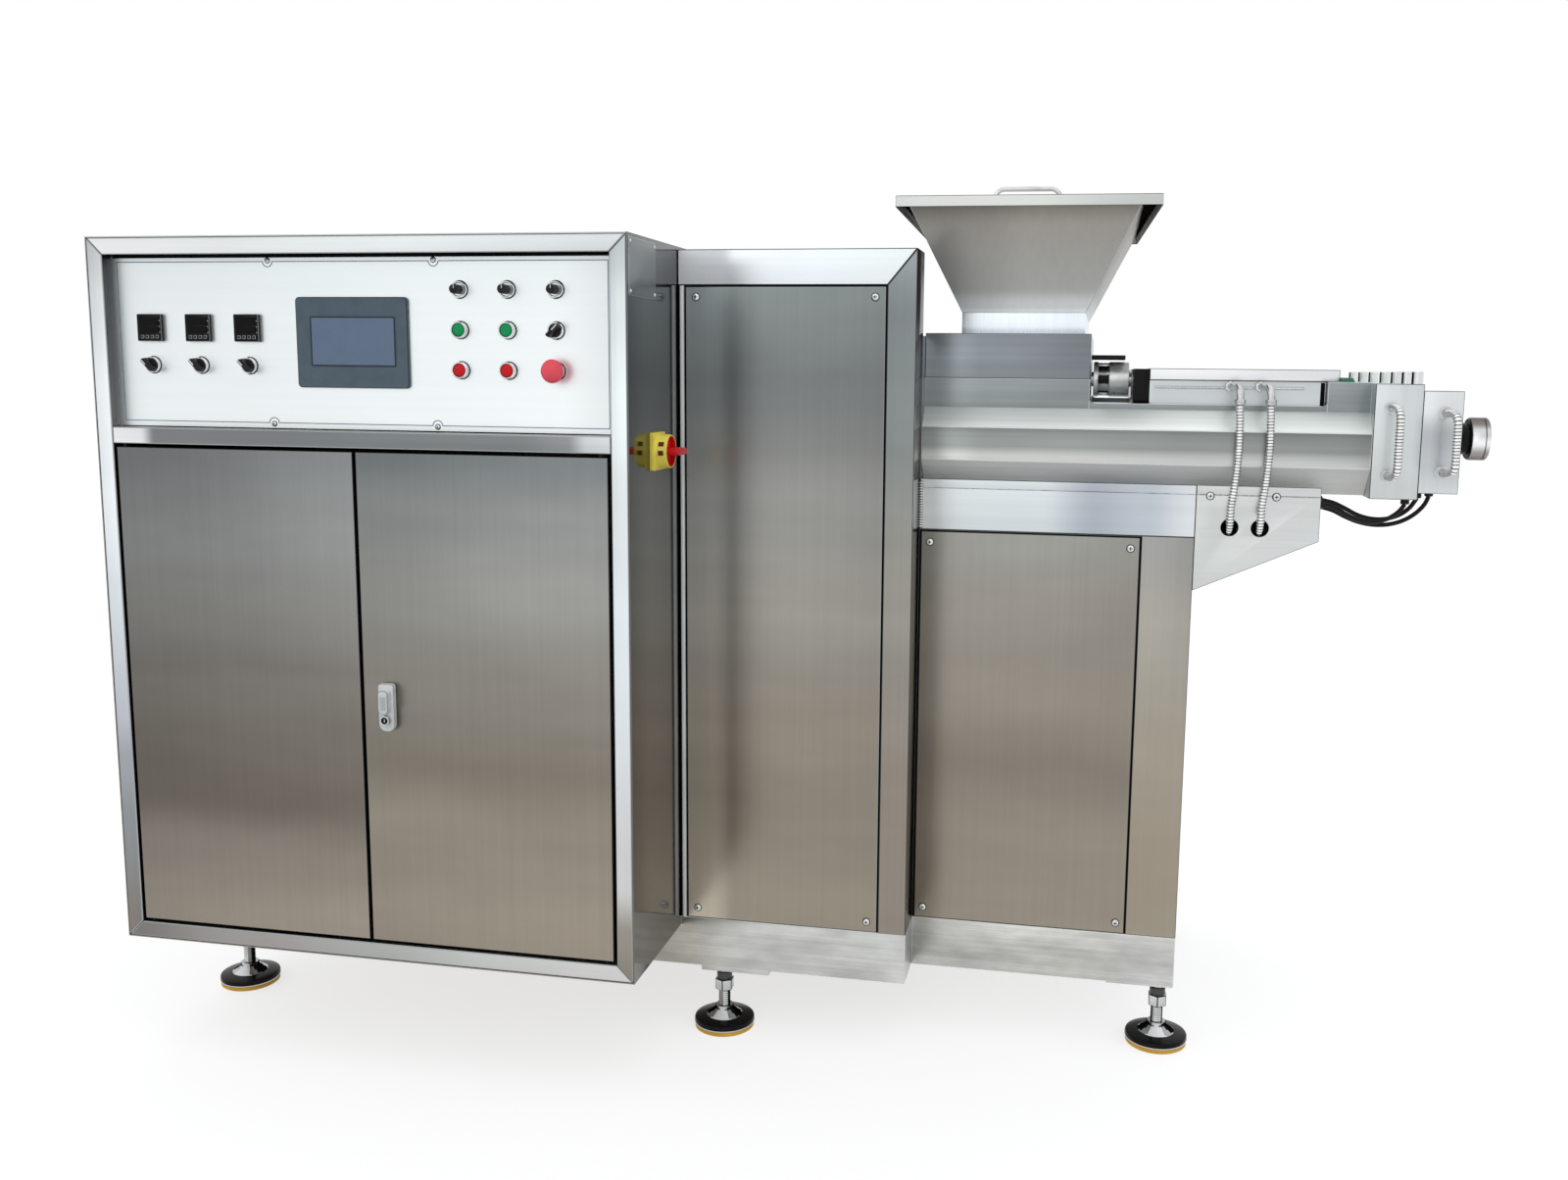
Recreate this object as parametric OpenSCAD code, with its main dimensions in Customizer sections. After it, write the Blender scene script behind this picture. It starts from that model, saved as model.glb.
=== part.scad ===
// Candy extruder: a control cabinet, a drive column and a base that carries two heated
// barrels side by side, fed by one hopper and joined at their outlet by a head block.
// Machine axes: x runs to the right along the barrels, y runs to the back, z runs up.

/* [Control cabinet] */
// Width of the control cabinet
cab_w = 1000; // [900:10:1200]
// Depth of the control cabinet, front to back
cab_d = 1100; // [1080:10:1300]
// Height of the control cabinet without its feet
cab_h = 1290; // [1250:10:1500]
// Height of the cabinet's underside above the floor
cab_z = 220; // [160:5:300]
// Side of the square tube of the front frame
tube = 30; // [25:1:40]
// Thickness of the cover sheets
sheet = 2; // [1.5:0.5:4]
// Clear height of the control panel's opening
panel_open_h = 300; // [290:5:340]
// Set-back of the control panel behind the frame
panel_recess = 25; // [20:1:40]
// Thickness of the control panel
panel_t = 3; // [2:0.5:5]

/* [Doors] */
// Gap around each door
door_gap = 6; // [6:0.5:9]
// Depth of the folded door pan
door_t = 10; // [8:0.5:10]
// Thickness of the door sheet
door_skin = 2; // [1.5:0.5:3]
// Set-back of the door faces behind the frame
door_set = 1; // [0:0.5:4]
// Distance from a door's hinge edge to its pivot pins
hinge_in = 14; // [13:1:18]
// Diameter of the pivot pins
pin_d = 8; // [6:0.5:9]
// Length of a pivot pin inside its rail
pin_len = 14; // [8:1:20]
// Radial clearance around pins, shafts and plungers
run_clear = 0.3; // [0.2:0.05:0.6]
// Width of the door lock
lock_w = 30; // [24:1:36]
// Height of the door lock
lock_h = 86; // [70:1:110]
// Height of the lock's centre above the floor
lock_z = 694; // [500:1:900]
// Distance from the right door's free edge to the lock's centre
lock_in = 47; // [30:1:70]

/* [Controls] */
// Width of the operator screen
screen_w = 209; // [180:1:230]
// Height of the operator screen
screen_h = 155; // [130:1:180]
// Height of the screen's centre above the panel's middle
screen_up = 1; // [-10:1:10]
// How far the screen's bezel stands out of the panel
screen_out = 6; // [4:1:10]
// Side of a temperature controller's square face
controller_side = 48; // [44:1:54]
// How far a controller stands out of the panel
controller_out = 8; // [4:1:12]
// Height of the controllers' centres above the panel's middle
controller_up = 25; // [20:1:40]
// Distance of the heat selectors' centres below the panel's middle
heat_down = 40; // [30:1:50]
// Height of the start buttons' row above the panel's middle
key_up = 23.5; // [10:0.5:30]
// Distance between the rows of knobs and buttons
key_row = 67.5; // [60:0.5:75]
// Diameter of a plunger or knob shaft in the panel
plunger_d = 22; // [18:0.5:24]
// Outer diameter of the collar around a control
collar_d = 29; // [27:0.5:34]
// Height of that collar
collar_h = 4; // [2:0.5:5]
// Length of a plunger behind the panel's face
plunger_in = 14; // [10:1:20]
// How far a push button stands out of the panel
button_out = 12; // [9:1:16]
// Diameter of the stop mushroom
mushroom_d = 40; // [34:1:46]
// How far the stop mushroom stands out of the panel
mushroom_out = 32; // [28:1:36]
// Thickness of the stop mushroom
mushroom_t = 15; // [10:1:16]
// Diameter of a speed knob's grip
knob_d = 16; // [12:1:20]
// How far a knob or a selector stands out of the panel
knob_out = 24; // [20:1:28]
// Length of a selector's lever
lever_len = 28; // [24:1:30]
// Width of a selector's lever
lever_w = 9; // [6:1:12]

/* [Main switch] */
// Side of the switch's square plate
switch_side = 66; // [60:1:75]
// Thickness of the plate
switch_t = 8; // [5:1:10]
// Diameter of the collar on the plate
switch_collar_d = 60; // [52:1:64]
// How far the collar stands out of the cabinet's side
switch_collar_out = 28; // [20:1:32]
// Distance of the switch's centre behind the cabinet's front
switch_y = 139; // [110:1:200]
// Height of the switch's centre above the floor
switch_z = 1147; // [1050:1:1250]
// Length of the handle's grip
grip_len = 58; // [50:1:70]
// Width of the handle's grip
grip_w = 16; // [10:1:20]
// How far the grip stands out of the cabinet's side
grip_out = 54; // [50:1:66]

/* [Drive column] */
// Width of the drive column and of the drive housing behind it
col_w = 440; // [400:10:520]
// Set-back of the column's front behind the cabinet's front
col_y = 275; // [240:5:320]
// Depth of the column
col_d = 95; // [80:5:140]
// Distance of the column's top below the cabinet's top
col_drop = 5; // [0:1:20]
// Height of the column's and base's undersides above the floor
col_z = 140; // [110:5:155]
// How far the column's lower beam reaches under the cabinet
tongue = 60; // [20:5:120]
// Height of the drive housing's top above the floor
housing_top = 1355; // [1300:5:1361]
// Left border of the column's cover
col_left = 12; // [10:1:40]
// Right border of the column's cover
col_right = 56; // [40:1:80]
// Upper border of the column's cover
col_upper = 67; // [40:1:90]
// Lower border of the column's and base's covers
col_lower = 98; // [80:1:120]
// Thickness of the screwed-on covers
cover_t = 2; // [1.5:0.5:3]
// Gap around each screwed-on cover
cover_gap = 3; // [2:0.5:5]
// Depth of the rebate that a cover lies in
rebate = 3; // [3:0.5:5]

/* [Base] */
// How far the barrels' jacket reaches past the base
overhang = 294; // [240:2:340]
// Distance of the base's back from the cabinet's back
base_inset = 50; // [30:5:80]
// Height of the base's top above the floor
base_top = 998; // [940:1:1020]
// Width of the base's right-hand post
post_w = 96; // [60:1:120]
// Left border of the base's covers
base_left = 4; // [4:1:30]
// Upper border of the base's covers
base_upper = 4; // [4:1:30]
// Height of the beam between the base and the barrels
beam_h = 95; // [80:1:120]
// Height of the beam's lips beside the jacket
lip_h = 15; // [8:1:24]
// Thickness of the beam's lips
lip_t = 4; // [3:1:8]
// Distance from the bracket's free end to the head block
bracket_gap = 80; // [60:1:110]
// Height of the bracket's free end
bracket_end = 96; // [80:1:120]
// Height of the bracket where it meets the base
bracket_root = 192; // [150:1:220]
// Wall of the bracket
bracket_wall = 4; // [3:1:6]
// Diameter of the hose openings in the bracket
hose_open_d = 36; // [34:1:44]
// Distance of the hose openings below the jacket
hose_open_drop = 60; // [50:1:66]

/* [Barrels] */
// Length of the barrels' jacket
jacket_len = 794; // [760:2:860]
// Height of the jacket's lower chamfers
low_chamfer = 50; // [40:1:60]
// Height of the jacket's upright faces
jacket_flat = 62; // [50:1:80]
// Height of the jacket's upper chamfers
high_chamfer = 36; // [24:1:40]
// Height of the walls above the jacket's chamfers
wall_h = 53; // [45:1:62]
// Thickness of those walls
wall_t = 6; // [4:1:10]
// Height of the walls along the notch
notch_sill = 10; // [6:1:20]
// Length of the feed block
feed_len = 304; // [280:2:340]
// Height of the feed block above the walls
feed_h = 82; // [70:1:100]
// Length of the closed jacket end beside the head block
jacket_end = 74; // [60:1:90]

/* [Hopper] */
// Distance of the hopper's neck from the feed block's left end
neck_left = 64; // [30:1:90]
// Distance of the neck from the feed block's right end
neck_right = 12; // [8:1:30]
// Distance of the neck from the feed block's front and back
neck_in = 34; // [20:1:60]
// Height of the neck
neck_h = 40; // [30:1:60]
// How far the hopper widens on its left and right
flare_x = 94; // [60:1:130]
// How far the hopper widens on its front and back
flare_y = 86; // [60:1:110]
// Height of the sloping part
slope_h = 196; // [150:1:240]
// Wall of the hopper
hopper_wall = 3; // [2:0.5:5]
// How far the lid reaches past the rim on each side
lid_over = 26; // [24:1:60]
// How far the loose lid lies to the right of the hopper's middle
lid_shift = -6; // [-6:1:6]
// How far the loose lid lies turned on the rim, in degrees
lid_turn = 2; // [-2:0.5:2]
// Depth of the lid's skirt
lid_h = 20; // [12:1:30]
// Thickness of the lid's sheet
lid_t = 3; // [2:0.5:4]
// Gap between the lid and the hopper's rim
seat_gap = 0.3; // [0.2:0.05:0.5]
// Width of the lid's handle
handle_w = 142; // [110:2:160]
// Height of the lid's handle
handle_h = 62; // [40:1:80]
// Diameter of the handle's rod
rod_d = 10; // [8:0.5:14]

/* [Head drive] */
// Length of the coupling between the feed block and the bearing plate
coupling_len = 79; // [70:1:90]
// Diameter of the coupling's hubs
coupling_d = 70; // [56:1:76]
// Diameter of the shaft
shaft_d = 30; // [24:1:40]
// Height of the shaft above the jacket's chamfers
shaft_up = 52; // [48:1:58]
// Thickness of the coupling's cover plate
guard_t = 9; // [6:1:12]
// Thickness of the bearing plate
bearing_t = 28; // [20:1:36]
// Height of the bearing plate
bearing_h = 73; // [64:1:84]
// Inset of the head drive housing behind the walls
drive_in = 24; // [18:1:40]
// Thickness of the head drive's cover
drive_cover_t = 18; // [12:1:24]
// How far that cover reaches over the jacket's end
drive_cover_over = 22; // [10:1:40]

/* [Head] */
// Length of the head block along the barrels
head_len = 80; // [60:1:100]
// Height of the head block
head_h = 201; // [180:1:220]
// Length of a die block along the barrels
die_len = 66; // [50:1:80]
// Width of a die block
die_w = 140; // [120:2:160]
// Height of a die block
die_h = 178; // [160:1:190]
// Diameter of a nozzle's nut
nut_d = 76; // [66:1:90]
// Length of a nozzle's nut
nut_len = 34; // [24:1:44]
// Diameter of a nozzle's neck
nozzle_d = 56; // [46:1:60]
// Length of a nozzle's neck
nozzle_len = 24; // [16:1:34]
// Diameter of a nozzle's outlet
outlet_d = 32; // [20:1:40]

/* [Feet] */
// Diameter of a foot's rubber ring
ring_d = 116; // [90:1:126]
// Height of a foot's rubber ring
ring_h = 9; // [6:1:14]
// Diameter of a foot's plate
pad_d = 118; // [92:1:128]
// Height of a foot's plate
pad_h = 34; // [26:1:40]
// Diameter of a foot's threaded stem
stem_d = 24; // [16:1:28]
// Width of a foot's nuts across corners
foot_nut_d = 38; // [32:1:44]
// Height of a foot's nuts
foot_nut_h = 16; // [12:1:20]
// Distance of the cabinet's feet from its left side
foot_in = 43; // [40:1:80]
// Thickness of the plates that carry the drive's and the base's feet
foot_plate_t = 10; // [8:1:14]
// Distance of a foot's lock nut below the machine
foot_nut_drop = 20; // [14:1:26]

/* [Hoses and cables] */
// Diameter of the corrugated hoses
hose_d = 14; // [12:1:16]
// Diameter of the cables
cable_d = 8; // [6:0.5:10]
// Diameter of the hoses' fittings
fitting_d = 20; // [18:1:26]
// Diameter of the cable glands
gland_d = 15; // [13:0.5:18]
// Length of the cable glands
gland_len = 12; // [8:1:16]

/* [Hidden] */
$fn = 64;
// overshoot of a cut past the face it opens
cut = 1;

// cabinet
cab_top = cab_z + cab_h;
frame_left = sheet;
frame_right = cab_w - sheet;
opening_left = frame_left + tube;
opening_right = frame_right - tube;
top_rail_z = cab_top - sheet - tube;
panel_z = top_rail_z - panel_open_h;
mid_rail_z = panel_z - tube;
sill_z = cab_z + sheet + tube;

// doors
door_w = (opening_right - opening_left - 3 * door_gap) / 2;
door_z = sill_z + door_gap;
door_h = mid_rail_z - sill_z - 2 * door_gap;
left_door_x = opening_left + door_gap;
right_door_x = opening_right - door_gap - door_w;
pivot_y = door_set + door_t / 2;
left_pivot_x = left_door_x + hinge_in;
right_pivot_x = right_door_x + door_w - hinge_in;
pivot_block = 2 * hinge_in;
lock_x = right_door_x + lock_in;
lock_out = 22;

// controls
hole_d = plunger_d + 2 * run_clear;
panel_mid_z = panel_z + panel_open_h / 2;
screen_mid_x = cab_w * 0.4945;
heat_x = cab_w * 0.105;
heat_pitch = cab_w * 0.095;
key_x = cab_w * 0.694;
key_pitch = cab_w * 0.086;
body_depth = 40;
body_margin = 8;
controller_margin = 2;

// column, housing and base
col_x = cab_w;
col_top = cab_top - col_drop;
base_x = col_x + col_w;
base_y = col_y + col_d;
base_back = cab_d - base_inset;
base_d = base_back - base_y;
mid_y = base_y + base_d / 2;
beam_top = base_top + beam_h;
cradle_z = beam_top - lip_h;
base_w = jacket_len - overhang;
bracket_x = base_x + base_w;

// barrels
fold_z = cradle_z + low_chamfer;
shoulder_z = fold_z + jacket_flat;
wall_z = shoulder_z + high_chamfer;
wall_top = wall_z + wall_h;
wall_y = base_y + high_chamfer;
wall_back = base_back - high_chamfer;
feed_x = base_x;
feed_right = feed_x + feed_len;
feed_top = wall_top + feed_h;
jacket_right = base_x + jacket_len;
end_x = jacket_right - jacket_end;
bracket_back = jacket_right - bracket_gap;
bracket_len = bracket_back - bracket_x;
notch_r = 8;

// hopper
neck_w = feed_len - neck_left - neck_right;
neck_d = wall_back - wall_y - 2 * neck_in;
rim_w = neck_w + 2 * flare_x;
rim_d = neck_d + 2 * flare_y;
hopper_x = feed_x + neck_left + neck_w / 2;
neck_top = feed_top + neck_h;
rim_z = neck_top + slope_h;
lid_top = rim_z + seat_gap + lid_t;

// head drive and head
drive_y = wall_y + drive_in;
drive_back = wall_back - drive_in;
bearing_x = feed_right + coupling_len;
drive_x = bearing_x + bearing_t;
shaft_z = wall_z + shaft_up;
hub_len = coupling_len * 0.38;
guard_y = 100;
guard_len = 66;
guard_gap = 4;
head_drop = 2;
head_z = cradle_z - head_drop;
die_x = jacket_right + head_len;
die_z = head_z + (head_h - die_h) / 2;
die_set = 2;
die_y = base_y + die_set;
die_back_y = base_back - die_set - die_w;
nozzle_x = die_x + die_len;
nozzle_z = head_z + head_h / 2 + 5;
machine_right = nozzle_x + nozzle_len + nut_len;

// feet
foot_plate_in = 34;
foot_plate_out = 100;
foot_plate_y = 45;
drive_foot_x = col_x + 75;
base_foot_x = bracket_x - 25;
feet = [[foot_in, col_y + 28, cab_z], [foot_in, cab_d - 60, cab_z],
    [drive_foot_x, col_y + col_d / 2, col_z], [drive_foot_x, cab_d - 60, col_z],
    [base_foot_x, base_y + 62, col_z], [base_foot_x, base_back - 62, col_z]];
// left and right ends of the plates on the drive's and the base's undersides
foot_plates_x = [[0, 0], [0, 0], [drive_foot_x - foot_plate_in, drive_foot_x + foot_plate_out],
    [drive_foot_x - foot_plate_in, drive_foot_x + foot_plate_out],
    [base_foot_x - foot_plate_out, bracket_x], [base_foot_x - foot_plate_out, bracket_x]];

// overall box: from the left feet to the nozzles, from the lock's face to the back
machine_left = min(0, foot_in - max(ring_d, pad_d) / 2);
machine_front = door_set - lock_out;
lid_reach = (rim_d / 2 + lid_over) * cos(lid_turn) + (rim_w / 2 + lid_over) * abs(sin(lid_turn));
machine_back = max(cab_d, mid_y + lid_reach);
machine_mid_x = (machine_left + machine_right) / 2;
machine_mid_y = (machine_front + machine_back) / 2;

// point part of the way from one point to another
function between(a, b, share) = a + share * (b - a);

// long hoses: out of an elbow on the head drive, straight down with a slight bow, then
// bent into the bracket
hose_open_z = cradle_z - hose_open_drop;
hose_xs = [bracket_x + bracket_len * 0.28, bracket_x + bracket_len * 0.525];
hose_y = base_y - 10;
elbow_z = wall_z + 43;
elbow_turn = 10;
elbow_r = 22;
elbow_end = 10;
elbow_shift = (drive_y - hose_y) * tan(elbow_turn);
elbow_low = elbow_z - elbow_r - elbow_end;
hose_bow = 5;
hose_bend = [[-10, 39], [-8, 23], [-3, 8], [4, -3], [14, -12], [26, -19]];
function hose_start(x) = [x + elbow_shift / 2, hose_y, elbow_low];
function long_route(x) = concat(
    [for (k = [0 : 5]) between(hose_start(x), [x, hose_y, hose_open_z + 39], k / 6)
        + [hose_bow * sin(30 * k), 0, 0]],
    [for (p = hose_bend) [x, base_y + p[0], hose_open_z + p[1]]]);

// short hoses: loops that stand out in front of the head and of the die block
loop_shape = [[0, 1], [0.4, 1], [0.74, 0.94], [0.94, 0.78], [1, 0.52], [1, 0], [1, -0.52], [0.94, -0.78],
    [0.74, -0.94], [0.4, -1], [0, -1]];
function loop_route(x, y, z, r, lean) = [for (p = loop_shape) [x + lean * p[0], y - r * p[0], z + r * p[1]]];
union_len = 14;
short_route_1 = loop_route(jacket_right + 27, base_y - union_len, head_z + head_h / 2, 60, 2);
short_route_2 = loop_route(die_x + 36, die_y - union_len, head_z + head_h / 2, 52, 7);

// cables: each sags from a gland on the bracket's end to a gland under the head or die block
cable_ys = [50, 70, 90];
cable_ends = [die_x - 10, die_x + 14, die_x + 38];
cable_sag_1 = [[0, -16], [0.13, -21], [0.26, -31], [0.39, -40], [0.52, -45], [0.65, -45], [0.77, -41],
    [0.87, -33], [0.95, -23], [1, -12]];
cable_sag_2 = [[0, -10], [0.13, -15], [0.26, -25], [0.38, -35], [0.51, -41], [0.64, -42], [0.76, -38],
    [0.86, -30], [0.94, -18], [1, -2]];
cable_sag_3 = [[0, -24], [0.12, -30], [0.23, -40], [0.35, -49], [0.48, -54], [0.61, -54], [0.73, -49],
    [0.83, -40], [0.91, -28], [0.97, -14], [1, 0]];
function cable_route(i, sag) = [for (p = sag)
    [between(bracket_back + gland_len, cable_ends[i], p[0]), base_y + cable_ys[i], head_z + p[1]]];
cable_routes = [cable_route(0, cable_sag_1), cable_route(1, cable_sag_2), cable_route(2, cable_sag_3)];

// moves machine axes to the middle of the machine's footprint
module place() {
    translate([-machine_mid_x, -machine_mid_y, 0]) children();
}

// box from its lowest to its highest corner
module block(low, high) {
    translate(low) cube(high - low);
}

// round bar along x, y or z from a start point
module bar_x(p, d, len) {
    translate(p) rotate([0, 90, 0]) cylinder(d = d, h = len);
}

module bar_y(p, d, len) {
    translate(p) rotate([-90, 0, 0]) cylinder(d = d, h = len);
}

module bar_z(p, d, len) {
    translate(p) cylinder(d = d, h = len);
}

// solid with an outline in the y-z plane, run along x
module run_x(x, len, outline) {
    translate([x, 0, 0]) rotate([90, 0, 90]) linear_extrude(height = len) polygon(outline);
}

// solid with an outline in the x-z plane, run along y
module run_y(y, len, outline) {
    translate([0, y + len, 0]) rotate([90, 0, 0]) linear_extrude(height = len) polygon(outline);
}

// unit vector
function unit(v) = v / norm(v);
// direction of a route at one of its points
function heading(p, i) = unit(p[min(i + 1, len(p) - 1)] - p[max(i - 1, 0)]);
// ring of points around a route's point, square to the route
function ring_at(p, i, d, sides, side) =
    let(t = heading(p, i), u = unit(cross(side, t)), v = cross(t, u))
    [for (k = [0 : sides - 1]) p[i] + d / 2 * (cos(360 * k / sides) * u + sin(360 * k / sides) * v)];

// round cord of a given diameter along a route; side is a direction that the route never takes
module cord(p, d, side) {
    sides = 10;
    last = len(p) - 1;
    points = [for (i = [0 : last]) each ring_at(p, i, d, sides, side)];
    walls = [for (i = [0 : last - 1], k = [0 : sides - 1])
        [i * sides + k, (i + 1) * sides + k, (i + 1) * sides + (k + 1) % sides,
            i * sides + (k + 1) % sides]];
    caps = [[for (k = [0 : sides - 1]) k], [for (k = [sides - 1 : -1 : 0]) last * sides + k]];
    polyhedron(points, concat(walls, caps));
}

// front frame of the control cabinet, drilled for the doors' pivot pins
module cabinet_frame() {
    color("gainsboro") place() difference() {
        union() {
            for (x = [frame_left, opening_right])
                block([x, 0, cab_z + sheet], [x + tube, tube, cab_top - sheet]);
            for (z = [cab_z + sheet, mid_rail_z, top_rail_z])
                block([opening_left, 0, z], [opening_right, tube, z + tube]);
        }
        for (x = [left_pivot_x, right_pivot_x]) {
            bar_z([x, pivot_y, mid_rail_z - cut], pin_d + 2 * run_clear, pin_len + 2 * cut);
            bar_z([x, pivot_y, sill_z - pin_len - cut], pin_d + 2 * run_clear, pin_len + 2 * cut);
        }
    }
}

module cabinet_left_side() {
    color("silver") place() block([0, 0, cab_z], [sheet, cab_d, cab_top]);
}

module cabinet_right_side() {
    color("slategray") place() block([cab_w - sheet, 0, cab_z], [cab_w, cab_d, cab_top]);
}

module cabinet_top() {
    color("silver") place()
        block([sheet, 0, cab_top - sheet], [cab_w - sheet, cab_d - sheet, cab_top]);
}

module cabinet_floor() {
    color("silver") place()
        block([sheet, 0, cab_z], [cab_w - sheet, cab_d - sheet, cab_z + sheet]);
}

module cabinet_back() {
    color("silver") place()
        block([sheet, cab_d - sheet, cab_z], [cab_w - sheet, cab_d, cab_top]);
}

// centre of a control in the panel's face
function key_at(column, row) = [key_x + column * key_pitch, panel_recess,
    panel_mid_z + key_up + (row - 1) * key_row];
function heat_at(column) = [heat_x + column * heat_pitch, panel_recess, panel_mid_z - heat_down];
function controller_at(column) = [heat_x + column * heat_pitch, panel_recess, panel_mid_z + controller_up];
key_places = [for (column = [0 : 2], row = [0 : 2]) key_at(column, row)];
heat_places = [for (column = [0 : 2]) heat_at(column)];
screen_z = panel_mid_z + screen_up;

// rectangle around a centre in the panel's face, from one depth to another
module face_box(c, w, h, from, to) {
    block([c[0] - w / 2, from, c[2] - h / 2], [c[0] + w / 2, to, c[2] + h / 2]);
}

screen_at = [screen_mid_x, panel_recess, screen_z];

module control_panel() {
    color("whitesmoke") place() difference() {
        block([opening_left, panel_recess, panel_z], [opening_right, panel_recess + panel_t, top_rail_z]);
        for (p = concat(key_places, heat_places))
            bar_y(p - [0, cut, 0], hole_d, panel_t + 2 * cut);
        face_box(screen_at, screen_w - 2 * body_margin + 2 * run_clear,
            screen_h - 2 * body_margin + 2 * run_clear, panel_recess - cut, panel_recess + panel_t + cut);
        for (column = [0 : 2])
            face_box(controller_at(column), controller_side - 2 * controller_margin + 2 * run_clear,
                controller_side - 2 * controller_margin + 2 * run_clear,
                panel_recess - cut, panel_recess + panel_t + cut);
    }
}

module operator_screen() {
    color("darkslategray") place() {
        face_box(screen_at, screen_w, screen_h, panel_recess - screen_out, panel_recess);
        face_box(screen_at, screen_w - 2 * body_margin, screen_h - 2 * body_margin,
            panel_recess - cut, panel_recess + body_depth);
    }
}

module temperature_controllers() {
    color("black") place() for (column = [0 : 2]) {
        face_box(controller_at(column), controller_side, controller_side,
            panel_recess - controller_out, panel_recess);
        face_box(controller_at(column), controller_side - 2 * controller_margin,
            controller_side - 2 * controller_margin, panel_recess - cut, panel_recess + body_depth);
    }
}

// collars around the knobs, selectors and buttons
module control_collars() {
    color("lightgray") place() for (p = concat(key_places, heat_places)) difference() {
        bar_y(p - [0, collar_h, 0], collar_d, collar_h);
        bar_y(p - [0, collar_h + cut, 0], hole_d, collar_h + 2 * cut);
    }
}

// shaft that runs through a collar and the panel, out to a given height
module plunger(p, out) {
    bar_y(p - [0, out, 0], plunger_d, out + plunger_in);
}

module speed_knob(column) {
    p = key_at(column, 2);
    color("black") place() {
        plunger(p, collar_h + cut);
        bar_y(p - [0, knob_out, 0], knob_d, knob_out);
    }
}

module push_button(column, row, shade) {
    color(shade) place() plunger(key_at(column, row), button_out);
}

// selector with a lever turned by a given angle in the panel's face
module selector(p, turn) {
    color("black") place() {
        plunger(p, collar_h + 2 * cut);
        translate(p) rotate([0, turn, 0])
            block([-lever_w / 2, -knob_out, -lever_len / 2], [lever_w / 2, -collar_h - cut, lever_len / 2]);
    }
}

module speed_knob_1() { speed_knob(0); }
module speed_knob_2() { speed_knob(1); }
module speed_knob_3() { speed_knob(2); }
module start_button_1() { push_button(0, 1, "limegreen"); }
module start_button_2() { push_button(1, 1, "limegreen"); }
module stop_button_1() { push_button(0, 0, "crimson"); }
module stop_button_2() { push_button(1, 0, "crimson"); }
module head_selector() { selector(key_at(2, 1), 45); }
module heat_selector_1() { selector(heat_at(0), -45); }
module heat_selector_2() { selector(heat_at(1), -45); }
module heat_selector_3() { selector(heat_at(2), -45); }

module emergency_stop() {
    p = key_at(2, 0);
    color("red") place() {
        plunger(p, mushroom_out - cut);
        bar_y(p - [0, mushroom_out, 0], mushroom_d, mushroom_t);
    }
}

// folded door pan with its pivot pins; pivot is the x of its pins
module door(x, pivot) {
    color("rosybrown") place() {
        difference() {
            block([x, door_set, door_z], [x + door_w, door_set + door_t, door_z + door_h]);
            block([x + door_skin, door_set + door_skin, door_z + door_skin],
                [x + door_w - door_skin, door_set + door_t + cut, door_z + door_h - door_skin]);
        }
        for (z = [door_z, door_z + door_h - pivot_block])
            block([pivot - hinge_in + door_skin / 2, door_set + door_skin / 2, z],
                [pivot + hinge_in - door_skin / 2, door_set + door_t, z + pivot_block]);
        bar_z([pivot, pivot_y, door_z - door_gap - pin_len], pin_d, door_gap + pin_len + hinge_in);
        bar_z([pivot, pivot_y, door_z + door_h - hinge_in], pin_d, door_gap + pin_len + hinge_in);
    }
}

module left_door() { door(left_door_x, left_pivot_x); }
module right_door() { door(right_door_x, right_pivot_x); }

// lock with a rounded plate, a flip lever and a key cylinder
module door_lock() {
    r = lock_w / 2;
    plate_t = 10;
    lever_half = 9;
    color("ghostwhite") place() translate([lock_x, door_set, lock_z]) rotate([90, 0, 0]) {
        for (z = [-1, 1]) translate([0, z * (lock_h / 2 - r), 0]) cylinder(r = r, h = plate_t);
        translate([-r, -(lock_h / 2 - r), 0]) cube([lock_w, lock_h - lock_w, plate_t]);
        translate([-lever_half, -lock_h / 6, 0]) cube([2 * lever_half, lock_h / 2, lock_out]);
        translate([0, -lock_h / 4, 0]) cylinder(r = lever_half, h = lock_out - 4);
    }
}

switch_at = [cab_w, switch_y, switch_z];
switch_shaft_d = 12;

module main_switch_plate() {
    color("gold") place() difference() {
        union() {
            block(switch_at - [0, switch_side / 2, switch_side / 2],
                switch_at + [switch_t, switch_side / 2, switch_side / 2]);
            bar_x(switch_at, switch_collar_d, switch_collar_out);
        }
        bar_x(switch_at + [switch_t / 2, 0, 0], switch_shaft_d + 2 * run_clear, switch_collar_out);
    }
}

module main_switch_handle() {
    face = switch_collar_out + 1;
    color("red") place() {
        bar_x(switch_at + [switch_t, 0, 0], switch_shaft_d, face);
        bar_x(switch_at + [face, 0, 0], switch_collar_d - 8, switch_t);
        block(switch_at + [face, -grip_len / 2, -grip_w / 2],
            switch_at + [grip_out, grip_len / 2, grip_w / 2]);
    }
}

// rebate for a cover in a face that looks to the front or to the back
module cover_rebate(x0, z0, x1, z1, y, depth) {
    block([x0 - cover_gap, min(y, y + depth), z0 - cover_gap],
        [x1 + cover_gap, max(y, y + depth), z1 + cover_gap]);
}

col_cover_x0 = col_x + col_left;
col_cover_x1 = col_x + col_w - col_right;
col_cover_z0 = col_z + col_lower;
col_cover_z1 = col_top - col_upper;

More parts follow.
